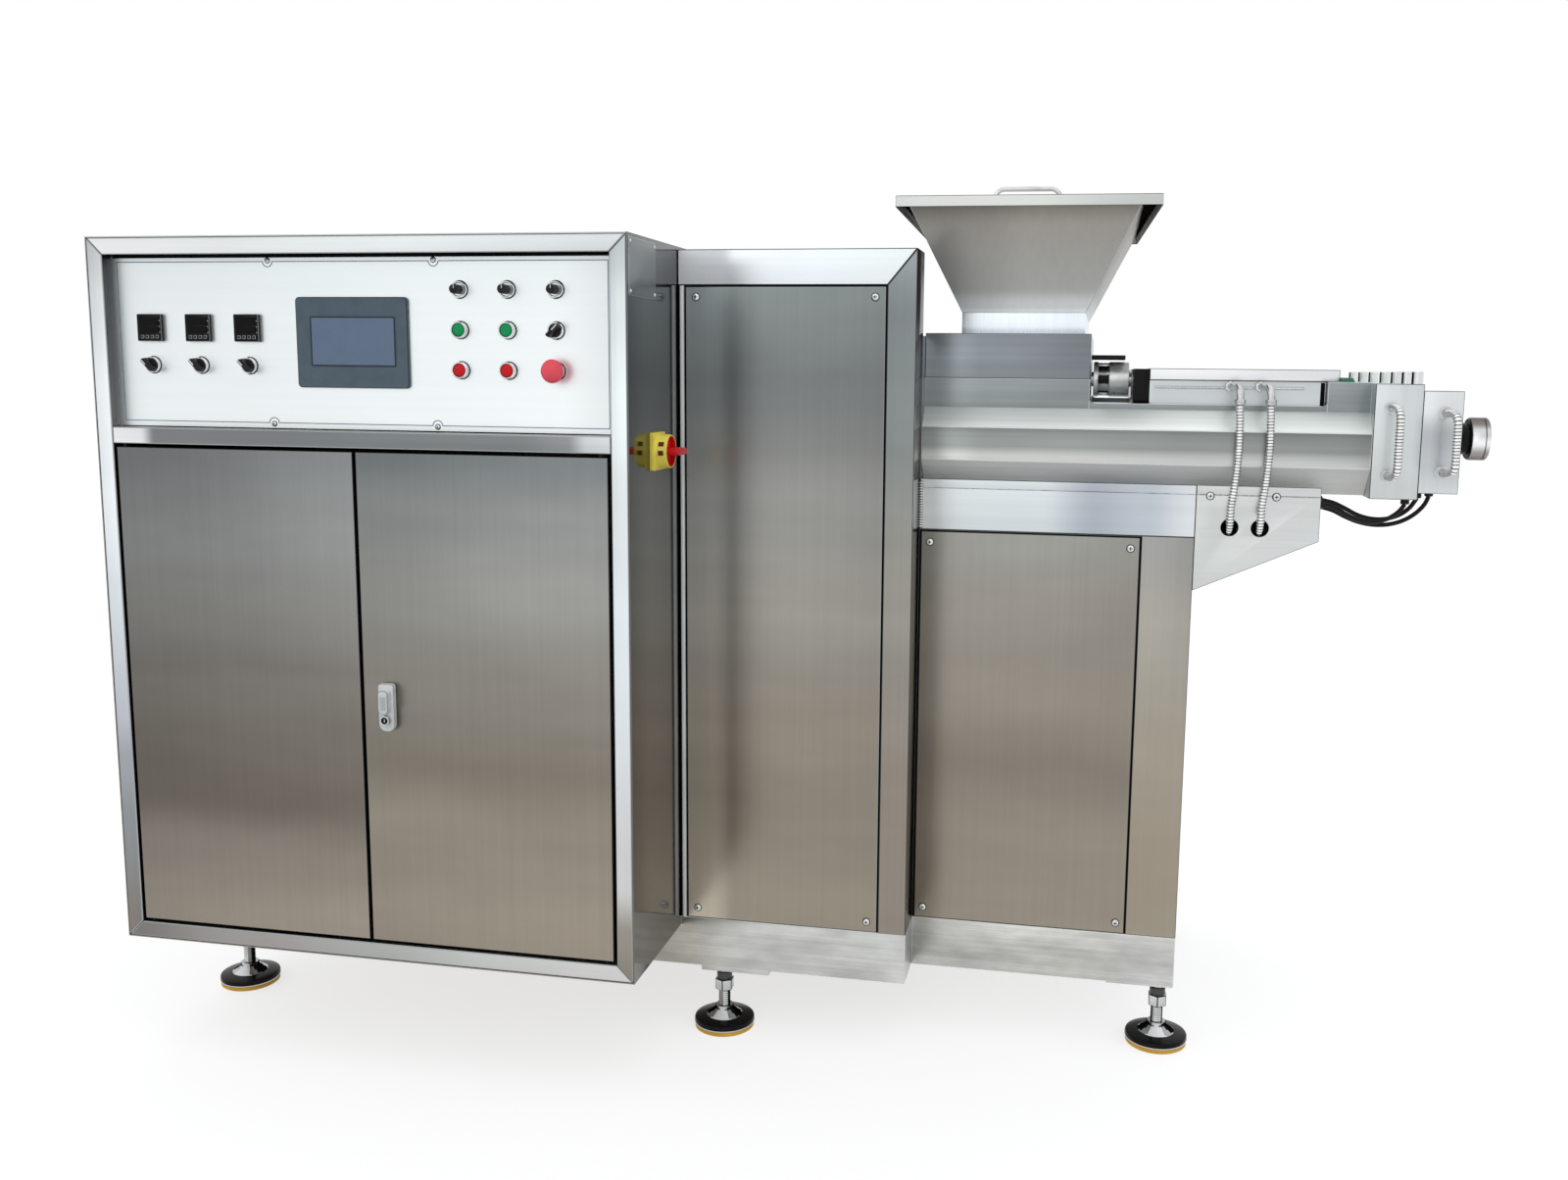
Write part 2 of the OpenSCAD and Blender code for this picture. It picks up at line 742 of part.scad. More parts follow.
module drive_column() {
    color("lightgray") place() difference() {
        union() {
            block([col_x, col_y, col_z], [col_x + col_w, base_y, col_top]);
            block([col_x - tongue, col_y, col_z], [col_x + cut, base_y, cab_z]);
        }
        cover_rebate(col_cover_x0, col_cover_z0, col_cover_x1, col_cover_z1, col_y - cut, rebate + cut);
    }
}

module drive_front_cover() {
    y = col_y + rebate - cover_t;
    color("dimgray") place()
        block([col_cover_x0, y, col_cover_z0], [col_cover_x1, col_y + rebate, col_cover_z1]);
}

// rear cover of the drive housing, bordered like the column's
rear_cover_x0 = col_x + col_right;
rear_cover_z1 = housing_top - col_upper;

module drive_housing() {
    color("lightgray") place() difference() {
        block([col_x, base_y, col_z], [base_x, cab_d, housing_top]);
        cover_rebate(rear_cover_x0, col_cover_z0, col_cover_x1, rear_cover_z1, cab_d + cut, -rebate - cut);
    }
}

module drive_rear_cover() {
    y = cab_d - rebate;
    color("dimgray") place()
        block([rear_cover_x0, y, col_cover_z0], [col_cover_x1, y + cover_t, rear_cover_z1]);
}

base_cover_x0 = base_x + base_left;
base_cover_x1 = bracket_x - post_w;
base_cover_z1 = base_top - base_upper;

module base_frame() {
    color("lightgray") place() difference() {
        block([base_x, base_y, col_z], [bracket_x, base_back, base_top]);
        cover_rebate(base_cover_x0, col_cover_z0, base_cover_x1, base_cover_z1, base_y - cut, rebate + cut);
        cover_rebate(base_cover_x0, col_cover_z0, base_cover_x1, base_cover_z1, base_back + cut,
            -rebate - cut);
    }
}

module base_front_cover() {
    y = base_y + rebate - cover_t;
    color("dimgray") place()
        block([base_cover_x0, y, col_cover_z0], [base_cover_x1, base_y + rebate, base_cover_z1]);
}

module base_rear_cover() {
    y = base_back - rebate;
    color("dimgray") place()
        block([base_cover_x0, y, col_cover_z0], [base_cover_x1, y + cover_t, base_cover_z1]);
}

// lips beside the jacket, along the front and the back
module cradle_lips(x0, x1) {
    for (y = [base_y, base_back - lip_t]) block([x0, y, cradle_z - cut], [x1, y + lip_t, beam_top]);
}

module support_beam() {
    color("gainsboro") place() {
        block([base_x, base_y, base_top], [bracket_x, base_back, cradle_z]);
        cradle_lips(base_x, bracket_x);
    }
}

// hollow bracket under the barrels' outlet end, which takes the hoses and cables in
module cable_bracket() {
    w = bracket_wall;
    tip_z = beam_top - bracket_root;
    end_z = beam_top - bracket_end;
    color("whitesmoke") place() difference() {
        union() {
            run_y(base_y, base_d, [[bracket_x, cradle_z], [bracket_back, cradle_z],
                [bracket_back, end_z], [bracket_x, tip_z]]);
            cradle_lips(bracket_x, bracket_back);
        }
        run_y(base_y + w, base_d - 2 * w, [[bracket_x + w, cradle_z - w], [bracket_back - w, cradle_z - w],
            [bracket_back - w, end_z + w], [bracket_x + w, tip_z + 2 * w]]);
        for (x = hose_xs) bar_y([x, base_y - cut, hose_open_z], hose_open_d, w + 2 * cut);
    }
}

// threaded stems with a lock nut, and the plates that carry them
module foot_stems() {
    color("silver") place() for (i = [0 : len(feet) - 1]) {
        f = feet[i];
        ends = foot_plates_x[i];
        bar_z([f[0], f[1], ring_h + pad_h], stem_d, f[2] - ring_h - pad_h);
        translate([f[0], f[1], f[2] - foot_nut_drop - foot_nut_h])
            cylinder(d = foot_nut_d, h = foot_nut_h, $fn = 6);
        if (ends[1] > ends[0])
            block([ends[0], f[1] - foot_plate_y, f[2] - foot_plate_t], [ends[1], f[1] + foot_plate_y, f[2]]);
    }
}

// domed steel plate of a foot
module foot_plates() {
    hub_d = foot_nut_d - 2;
    rim = 11;
    color("silver") place() for (f = feet) translate([f[0], f[1], ring_h])
        rotate_extrude() polygon([[0, 0], [pad_d / 2, 0], [pad_d / 2, rim], [pad_d * 0.46, rim + 2],
            [pad_d * 0.26, pad_h * 0.66], [hub_d / 2, pad_h], [0, pad_h]]);
}

module foot_rings() {
    color("goldenrod") place() for (f = feet) bar_z([f[0], f[1], 0], ring_d, ring_h);
}

// jacket outline seen along the barrels: chamfered front and back, flat under the walls
jacket_outline = [[base_y, fold_z], [base_y, shoulder_z], [wall_y, wall_z], [wall_back, wall_z],
    [base_back, shoulder_z], [base_back, fold_z], [base_back - low_chamfer, cradle_z],
    [base_y + low_chamfer, cradle_z]];

// rounded inner corner at the foot of the notch, facing left or right
module notch_corner(x, side, y) {
    sill = wall_z + notch_sill;
    x0 = min(x, x + side * notch_r);
    difference() {
        block([x0, y, sill], [x0 + notch_r, y + wall_t, sill + notch_r]);
        bar_y([x + side * notch_r, y - cut, sill + notch_r], 2 * notch_r, wall_t + 2 * cut);
    }
}

module barrel_jacket() {
    color("lightsteelblue") place() {
        run_x(base_x, jacket_len, jacket_outline);
        block([feed_x, wall_y, wall_z - cut], [feed_right, wall_back, wall_top]);
        block([end_x, wall_y, wall_z - cut], [jacket_right, wall_back, wall_top]);
        for (y = [wall_y, wall_back - wall_t]) {
            block([feed_right - cut, y, wall_z - cut], [end_x + cut, y + wall_t, wall_z + notch_sill]);
            notch_corner(feed_right, 1, y);
            notch_corner(end_x, -1, y);
        }
    }
}

// block over the barrels' inlets, with the throat that the hopper empties into
module feed_block() {
    color("lightsteelblue") place() difference() {
        block([feed_x, wall_y, wall_top], [feed_right, wall_back, feed_top]);
        block([hopper_x - neck_w / 2 + hopper_wall, mid_y - neck_d / 2 + hopper_wall, wall_top - cut],
            [hopper_x + neck_w / 2 - hopper_wall, mid_y + neck_d / 2 - hopper_wall, feed_top + cut]);
    }
}

// upright funnel between two rectangles around the hopper's middle
module funnel(z0, w0, d0, z1, w1, d1) {
    t = 0.01;
    hull() {
        translate([hopper_x - w0 / 2, mid_y - d0 / 2, z0]) cube([w0, d0, t]);
        translate([hopper_x - w1 / 2, mid_y - d1 / 2, z1 - t]) cube([w1, d1, t]);
    }
}

module hopper() {
    w = hopper_wall;
    color("lightgray") place() difference() {
        union() {
            block([hopper_x - neck_w / 2, mid_y - neck_d / 2, feed_top],
                [hopper_x + neck_w / 2, mid_y + neck_d / 2, neck_top]);
            funnel(neck_top, neck_w, neck_d, rim_z, rim_w, rim_d);
        }
        block([hopper_x - neck_w / 2 + w, mid_y - neck_d / 2 + w, feed_top - cut],
            [hopper_x + neck_w / 2 - w, mid_y + neck_d / 2 - w, neck_top + cut]);
        funnel(neck_top, neck_w - 2 * w, neck_d - 2 * w, rim_z + cut, rim_w - 2 * w, rim_d - 2 * w);
    }
}

// lid that drops over the rim, with its bent rod handle
module hopper_lid() {
    w = rim_w + 2 * lid_over;
    d = rim_d + 2 * lid_over;
    leg_x = handle_w / 2 - rod_d / 2;
    bar_up = handle_h - rod_d / 2;
    color("lightgray") place() translate([hopper_x + lid_shift, mid_y, 0]) rotate([0, 0, lid_turn]) {
        difference() {
            block([-w / 2, -d / 2, lid_top - lid_h], [w / 2, d / 2, lid_top]);
            block([-w / 2 + lid_t, -d / 2 + lid_t, lid_top - lid_h - cut],
                [w / 2 - lid_t, d / 2 - lid_t, lid_top - lid_t]);
        }
        for (x = [-leg_x, leg_x]) {
            bar_z([x, 0, lid_top - lid_t / 2], rod_d, bar_up + lid_t / 2);
            translate([x, 0, lid_top + bar_up]) sphere(d = rod_d);
        }
        bar_x([-leg_x, 0, lid_top + bar_up], rod_d, 2 * leg_x);
    }
}

// jaw coupling on the head drive's shaft
module drive_coupling() {
    color("silver") place() {
        bar_x([feed_right, mid_y, shaft_z], shaft_d, coupling_len);
        bar_x([feed_right + 4, mid_y, shaft_z], coupling_d, hub_len);
        bar_x([bearing_x - 4 - hub_len, mid_y, shaft_z], coupling_d, hub_len);
        bar_x([feed_right + 4, mid_y, shaft_z], coupling_d - 14, coupling_len - 8);
    }
}

module coupling_guard() {
    z = shaft_z + coupling_d / 2 + guard_gap;
    color("black") place()
        block([feed_right, mid_y - guard_y / 2, z],
            [feed_right + guard_len, mid_y + guard_y / 2, z + guard_t]);
}

module bearing_plate() {
    color("black") place()
        block([bearing_x, drive_y, wall_z], [drive_x, drive_back, wall_z + bearing_h]);
}

module head_drive_housing() {
    color("gainsboro") place() block([drive_x, drive_y, wall_z], [end_x, drive_back, wall_top]);
}

module head_drive_cover() {
    color("white") place() block([drive_x, drive_y - wall_t, wall_top],
        [end_x + drive_cover_over, drive_back + wall_t, wall_top + drive_cover_t]);
}

module head_block() {
    color("whitesmoke") place()
        block([jacket_right, base_y, head_z], [die_x, base_back, head_z + head_h]);
}

module die_blocks() {
    color("whitesmoke") place() for (y = [die_y, die_back_y])
        block([die_x, y, die_z], [nozzle_x, y + die_w, die_z + die_h]);
}

// nozzle with a short neck and a round nut, bored through
module nozzles() {
    color("silver") place() for (y = [die_y, die_back_y]) translate([0, y + die_w / 2, nozzle_z])
        difference() {
            union() {
                bar_x([nozzle_x, 0, 0], nozzle_d, nozzle_len + cut);
                bar_x([nozzle_x + nozzle_len, 0, 0], nut_d, nut_len);
            }
            bar_x([nozzle_x + cut, 0, 0], outlet_d, nozzle_len + nut_len);
        }
}

// elbows of the long hoses and unions of the short ones
module hose_fittings() {
    color("silver") place() {
        for (x = hose_xs) translate([x - elbow_shift / 2, drive_y, elbow_z]) {
            reach = (drive_y - hose_y) / cos(elbow_turn) - elbow_r;
            bar_y([0, -gland_len, 0], fitting_d, gland_len);
            rotate([0, 0, elbow_turn]) {
                bar_y([0, -reach - 0.01, 0], hose_d, reach - gland_len / 2);
                translate([0, -reach, -elbow_r]) rotate([0, -90, 0])
                    rotate_extrude(angle = -90) translate([elbow_r, 0]) circle(d = hose_d);
                bar_z([0, -reach - elbow_r, -elbow_r - elbow_end], fitting_d, elbow_end + 0.01);
            }
        }
        for (p = [short_route_1[0], short_route_1[len(short_route_1) - 1]])
            bar_y(p, fitting_d, base_y - p[1]);
        for (p = [short_route_2[0], short_route_2[len(short_route_2) - 1]])
            bar_y(p, fitting_d, die_y - p[1]);
    }
}

// glands on the bracket's end and under the head and die blocks
module cable_glands() {
    color("black") place() for (r = cable_routes) {
        first = r[0];
        last = r[len(r) - 1];
        under = last[0] < die_x ? head_z : die_z;
        bar_x([bracket_back, first[1], first[2]], gland_d, first[0] - bracket_back);
        bar_z([last[0], last[1], last[2]], gland_d, under - last[2]);
    }
}

// the long hoses hang in an upright plane, so sideways is along the machine
module long_hose(x) {
    color("silver") place() cord(long_route(x), hose_d, [1, 0, 0]);
}

module short_hose(route) {
    color("silver") place() cord(route, hose_d, [1, 0, 0]);
}

module cable(route) {
    color("black") place() cord(route, cable_d, [0, 1, 0]);
}

module long_hose_1() { long_hose(hose_xs[0]); }
module long_hose_2() { long_hose(hose_xs[1]); }
module short_hose_1() { short_hose(short_route_1); }
module short_hose_2() { short_hose(short_route_2); }
module cable_1() { cable(cable_routes[0]); }
module cable_2() { cable(cable_routes[1]); }
module cable_3() { cable(cable_routes[2]); }

cabinet_frame();
cabinet_left_side();
cabinet_right_side();
cabinet_top();
cabinet_floor();
cabinet_back();
control_panel();
operator_screen();
temperature_controllers();
control_collars();
speed_knob_1();
speed_knob_2();
speed_knob_3();
start_button_1();
start_button_2();
stop_button_1();
stop_button_2();
head_selector();
emergency_stop();
heat_selector_1();
heat_selector_2();
heat_selector_3();
left_door();
right_door();
door_lock();
main_switch_plate();
main_switch_handle();
drive_column();
drive_front_cover();
drive_housing();
drive_rear_cover();
base_frame();
base_front_cover();
base_rear_cover();
support_beam();
cable_bracket();
foot_stems();
foot_plates();
foot_rings();
barrel_jacket();
feed_block();
hopper();
hopper_lid();
drive_coupling();
coupling_guard();
bearing_plate();
head_drive_housing();
head_drive_cover();
head_block();
die_blocks();
nozzles();
hose_fittings();
cable_glands();
long_hose_1();
long_hose_2();
short_hose_1();
short_hose_2();
cable_1();
cable_2();
cable_3();
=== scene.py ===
"""Looks of a stainless candy extruder, built over its CAD frame.

Sizes are in machine millimetres: X runs to the right along the front, Y from the front to
the back and Z up from the floor. Each sub-assembly is a class that models its pieces,
dresses them in a finish and hands them to the frame.
"""

import logging
import math
from collections.abc import Callable, Iterator, Mapping, Sequence
from contextlib import contextmanager
from dataclasses import dataclass
from enum import Enum
from functools import cache

import bmesh
import bpy
from mathutils import Matrix, Vector


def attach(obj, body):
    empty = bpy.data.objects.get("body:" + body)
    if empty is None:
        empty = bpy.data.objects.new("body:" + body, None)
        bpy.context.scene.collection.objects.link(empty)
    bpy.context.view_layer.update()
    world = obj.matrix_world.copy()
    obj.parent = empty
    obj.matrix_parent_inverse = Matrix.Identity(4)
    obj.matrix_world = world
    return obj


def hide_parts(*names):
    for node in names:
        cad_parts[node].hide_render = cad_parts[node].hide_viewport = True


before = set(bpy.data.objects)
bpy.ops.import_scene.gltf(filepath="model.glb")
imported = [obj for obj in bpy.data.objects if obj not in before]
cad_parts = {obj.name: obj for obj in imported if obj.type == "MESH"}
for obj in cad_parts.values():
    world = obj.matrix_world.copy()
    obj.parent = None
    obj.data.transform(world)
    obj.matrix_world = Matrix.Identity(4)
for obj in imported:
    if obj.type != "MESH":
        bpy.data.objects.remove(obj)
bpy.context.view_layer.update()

logging.basicConfig(level=logging.INFO, format="%(message)s")
LOG = logging.getLogger("extruder")

MM = 0.001
MACHINE_MIDDLE = Vector((1211.0, 539.5, 0.0))
ZERO = (0.0, 0.0, 0.0)
NOISE_MIDDLE = (0.3, 0.7)
LEAST_ROUGH = 0.03

Piece = bpy.types.Object
Socket = bpy.types.NodeSocket
Point = tuple[float, float, float]
Pairs = Sequence[tuple[float, float]]
Tone = tuple[float, ...]
Test = Callable[[Vector, Vector], bool]


def spot(point: Sequence[float]) -> Vector:
    """Turns a place in machine millimetres into the shared frame's metres."""
    return (Vector(point) - MACHINE_MIDDLE) * MM


def machine_mm(place: Vector) -> Vector:
    """Turns a place in the shared frame's metres into machine millimetres."""
    return place / MM + MACHINE_MIDDLE


def srgb(*tones: float) -> Tone:
    """Turns screen tones from 0 to 255 into the linear colour that shaders take."""
    shares = [tone / 255.0 for tone in tones]
    return tuple(share / 12.92 if share <= 0.04045 else ((share + 0.055) / 1.055) ** 2.4 for share in shares)


class Axis(Enum):
    """Directions of the machine's frame."""

    X = (1.0, 0.0, 0.0)
    Y = (0.0, 1.0, 0.0)
    Z = (0.0, 0.0, 1.0)


class Grain(Enum):
    """Ways a sheet is brushed, as noise cells per metre along X, Y and Z."""

    UPRIGHT = (900.0, 900.0, 4.0)
    LENGTHWISE = (4.0, 900.0, 900.0)
    CAST = (60.0, 60.0, 60.0)


@dataclass
class NodeBoard:
    """A node tree that is being wired.

    Attributes:
        tree: The node tree.
    """

    tree: bpy.types.NodeTree

    def feed(self, target: Socket, source: object) -> None:
        """Links an input to a socket or sets its value.

        Args:
            target: The input.
            source: A socket or a value.
        """
        if isinstance(source, Socket):
            self.tree.links.new(source, target)
        else:
            target.default_value = source

    def add(self, kind: str, feeds: Mapping[str | int, object] | None = None, **settings: object) -> bpy.types.Node:
        """Adds a shader node.

        Args:
            kind: Type of the node.
            feeds: Its inputs, each with a socket or a value.
            settings: Its properties.

        Returns:
            The node.
        """
        node = self.tree.nodes.new(f"ShaderNode{kind}")
        for name, value in settings.items():
            setattr(node, name, value)
        for name, source in (feeds or {}).items():
            self.feed(node.inputs[name], source)
        return node

    def spread(self, noise: Socket, low: float, high: float) -> Socket:
        """Maps the middle part of a noise to a range."""
        start, end = NOISE_MIDDLE
        feeds = {"Value": noise, "From Min": start, "From Max": end, "To Min": low, "To Max": high}
        return self.add("MapRange", feeds).outputs["Result"]

    def times(self, first: Socket, *others: Socket) -> Socket:
        """Multiplies one value by all the others."""
        for other in others:
            first = self.add("Math", {0: first, 1: other}, operation="MULTIPLY").outputs[0]
        return first

    def tones(self, place: Socket, stops: Sequence[tuple[float, Tone]], run: Axis) -> Socket:
        """Wires a colour that runs along a direction.

        Args:
            place: The place on the object.
            stops: Millimetres along the direction and the linear colour there.
            run: The direction.

        Returns:
            The colour.
        """
        first, last = stops[0][0], stops[-1][0]
        middle = MACHINE_MIDDLE.dot(Vector(run.value))
        feeds = {"Place": place, "Direction": run.value, "Start": (first - middle) * MM,
                 "End": (max(last, first + 1.0) - middle) * MM}
        share = self.add("Group", feeds, node_tree=SharedEffects.rise()).outputs["Share"]
        ramp = self.add("ValToRGB", {"Fac": share})
        ramp.color_ramp.interpolation = "EASE" if len(stops) > 3 else "LINEAR"
        elements = ramp.color_ramp.elements
        while len(elements) < len(stops):
            elements.new(0.5)
        for element, (far, colour) in zip(elements, stops):
            element.position = (far - first) / max(last - first, 1.0)
            element.color = (*colour, 1.0)
        if len(stops) == 1:
            elements[1].color = elements[0].color
        return ramp.outputs["Color"]


class SharedEffects:
    """Node groups that the finishes share."""

    @staticmethod
    def start(
        name: str, inputs: Mapping[str, str], outputs: Sequence[str]
    ) -> tuple[NodeBoard, bpy.types.NodeOutputs, bpy.types.NodeInputs]:
        """Starts a node group with its sockets.

        Args:
            name: Name of the group.
            inputs: Names and types of its inputs.
            outputs: Names of its outputs.

        Returns:
            The board of the group, what comes into it and what goes out of it.
        """
        tree = bpy.data.node_groups.new(name, "ShaderNodeTree")
        for title, kind in inputs.items():
            tree.interface.new_socket(name=title, in_out="INPUT", socket_type=f"NodeSocket{kind}")
        for title in outputs:
            tree.interface.new_socket(name=title, in_out="OUTPUT", socket_type="NodeSocketFloat")
        into, out = tree.nodes.new("NodeGroupInput"), tree.nodes.new("NodeGroupOutput")
        return NodeBoard(tree), into.outputs, out.inputs

    @staticmethod
    @cache
    def brush_marks() -> bpy.types.NodeTree:
        """Builds the brushed grain: fine lines and broad streaks.

        Returns:
            The node group.
        """
        board, into, out = SharedEffects.start(
            "brush marks", {"Place": "Vector", "Stretch": "Vector"}, ("Fine", "Broad"))
        lines = board.add("VectorMath", {0: into["Place"], 1: into["Stretch"]}, operation="MULTIPLY").outputs[0]
        for title, share, detail in (("Fine", 1.0, 3.0), ("Broad", 0.11, 2.0)):
            sized = board.add("VectorMath", {0: lines, "Scale": share}, operation="SCALE").outputs[0]
            noise = board.add("TexNoise", {"Vector": sized, "Scale": 1.0, "Detail": detail, "Roughness": 0.6})
            board.feed(out[title], noise.outputs["Fac"])
        return board.tree

    @staticmethod
    @cache
    def clouds() -> bpy.types.NodeTree:
        """Builds soft patches, as of handling and of uneven light in the sheet.

        Returns:
            The node group.
        """
        board, into, out = SharedEffects.start(
            "soft clouds", {"Place": "Vector", "Size": "Float"}, ("Cloud", "Smudge"))
        for title, share, detail in (("Cloud", 1.0, 2.0), ("Smudge", 4.5, 6.0)):
            sized = board.add("Math", {0: into["Size"], 1: share}, operation="MULTIPLY").outputs[0]
            noise = board.add("TexNoise", {"Vector": into["Place"], "Scale": sized, "Detail": detail})
            board.feed(out[title], noise.outputs["Fac"])
        return board.tree

    @staticmethod
    @cache
    def rise() -> bpy.types.NodeTree:
        """Builds the share of the way along a direction.

        Returns:
            The node group.
        """
        sockets = {"Place": "Vector", "Direction": "Vector", "Start": "Float", "End": "Float"}
        board, into, out = SharedEffects.start("share of the way", sockets, ("Share",))
        far = board.add("VectorMath", {0: into["Place"], 1: into["Direction"]}, operation="DOT_PRODUCT")
        feeds = {"Value": far.outputs["Value"], "From Min": into["Start"], "From Max": into["End"]}
        board.feed(out["Share"], board.add("MapRange", feeds).outputs["Result"])
        return board.tree


@dataclass(frozen=True)
class Finish:
    """A finish that becomes one material.

    Attributes:
        name: Name of the material.
    """

    name: str

    def wire(self, board: NodeBoard, place: Socket) -> dict[str, object]:
        """Wires the nodes in front of the shader and gives the shader's inputs."""
        raise NotImplementedError

    def material(self) -> bpy.types.Material:
        """Builds the material, once.

        Returns:
            The material.
        """
        made = bpy.data.materials.get(self.name)
        if made is None:
            made = bpy.data.materials.new(self.name)
            made.use_nodes = True
            board = NodeBoard(made.node_tree)
            shader = board.tree.nodes["Principled BSDF"]
            for name, source in self.wire(board, board.add("TexCoord").outputs["Object"]).items():
                board.feed(shader.inputs[name], source)
        return made


@dataclass(frozen=True)
class SteelFinish(Finish):
    """Brushed or polished steel whose tone runs along one direction, a run that paints in reflections and shade.

    Attributes:
        stops: Millimetres along the direction and the screen tones there, which are painted reflections and shade.
        run: Direction of the tones.
        grain: Way the sheet is brushed.
        rough: Roughness of the sheet.
        metal: How metallic it is.
        lines: Contrast of the fine brush lines.
        streaks: Contrast of the broad streaks.
        patches: Contrast of the soft patches.
        patch_size: Patches per metre.
        patch_stretch: How much finer the patches are along X, Y and Z.
        bump: Strength of the brushed relief.
        across: Millimetres along X and a factor on the tone there, which paints light or shade in along X.
        edge: Tint of reflections at flat angles.
        metal_across: Millimetres along X and how metallic it is there, in place of one value.
    """

    stops: tuple[Tone, ...]
    run: Axis = Axis.Z
    grain: Grain = Grain.UPRIGHT
    rough: float = 0.34
    metal: float = 1.0
    lines: float = 0.03
    streaks: float = 0.025
    patches: float = 0.08
    patch_size: float = 2.2
    patch_stretch: Point = (0.7, 0.7, 2.6)
    bump: float = 0.04
    across: Pairs = ()
    edge: float = 1.0
    metal_across: Pairs = ()

    def wire(self, board: NodeBoard, place: Socket) -> dict[str, object]:
        """Wires the brushed steel.

        Args:
            board: Board of the material.
            place: The place on the object.

        Returns:
            Inputs of the shader, each with a socket or a value.
        """

        def level(pairs: Pairs) -> Socket:
            """Wires a level that runs along X."""
            return board.tones(place, [(far, (value,) * 3) for far, value in pairs], Axis.X)

        feeds = {"Place": place, "Stretch": self.grain.value}
        marks = board.add("Group", feeds, node_tree=SharedEffects.brush_marks()).outputs
        wide = board.add("VectorMath", {0: place, 1: self.patch_stretch}, operation="MULTIPLY").outputs[0]
        feeds = {"Place": wide, "Size": self.patch_size}
        clouds = board.add("Group", feeds, node_tree=SharedEffects.clouds()).outputs
        tone = board.times(*(board.spread(noise, 1 - share, 1 + share) for noise, share in (
            (marks["Fine"], self.lines), (marks["Broad"], self.streaks), (clouds["Cloud"], self.patches),
            (clouds["Smudge"], self.patches / 3))))
        if self.across:
            tone = board.times(tone, level(self.across))
        colour = board.tones(place, [(far, srgb(*tones)) for far, *tones in self.stops], self.run)
        shader = {
            "Base Color": board.add("VectorMath", {0: colour, "Scale": tone}, operation="SCALE").outputs[0],
            "Metallic": level(self.metal_across) if self.metal_across else self.metal,
            "Roughness": board.spread(marks["Fine"], max(self.rough - 0.05, LEAST_ROUGH), self.rough + 0.05),
            "Specular Tint": (self.edge, self.edge, self.edge, 1.0),
        }
        if self.bump:
            feeds = {"Strength": self.bump, "Distance": 0.5 * MM, "Height": marks["Fine"]}
            shader["Normal"] = board.add("Bump", feeds).outputs["Normal"]
        return shader


@dataclass(frozen=True)
class PolymerFinish(Finish):
    """Moulded plastic, rubber or enamel.

    Attributes:
        colour: Its screen tones.
        rough: Roughness.
        coat: Weight of the clear coat.
        speckle: Contrast of its fine mottle.
        bump: Strength of the moulded texture.
        gloss: Level of its reflections.
    """

    colour: Tone
    rough: float = 0.42
    coat: float = 0.0
    speckle: float = 0.08
    bump: float = 0.05
    gloss: float = 0.2

    def wire(self, board: NodeBoard, place: Socket) -> dict[str, object]:
        """Wires the moulded plastic.

        Args:
            board: Board of the material.
            place: The place on the object.

        Returns:
            Inputs of the shader, each with a socket or a value.
        """
        clouds = board.add("Group", {"Place": place, "Size": 40.0}, node_tree=SharedEffects.clouds()).outputs
        tone = board.spread(clouds["Cloud"], 1 - self.speckle, 1 + self.speckle)
        relief = {"Strength": self.bump, "Distance": 0.4 * MM, "Height": clouds["Smudge"]}
        return {
            "Base Color": board.add(
                "VectorMath", {0: srgb(*self.colour), "Scale": tone}, operation="SCALE").outputs[0],
            "Roughness": board.spread(clouds["Smudge"], max(self.rough - 0.06, LEAST_ROUGH), self.rough + 0.06),
            "Coat Weight": self.coat,
            "Specular IOR Level": self.gloss,
            "Normal": board.add("Bump", relief).outputs["Normal"],
        }


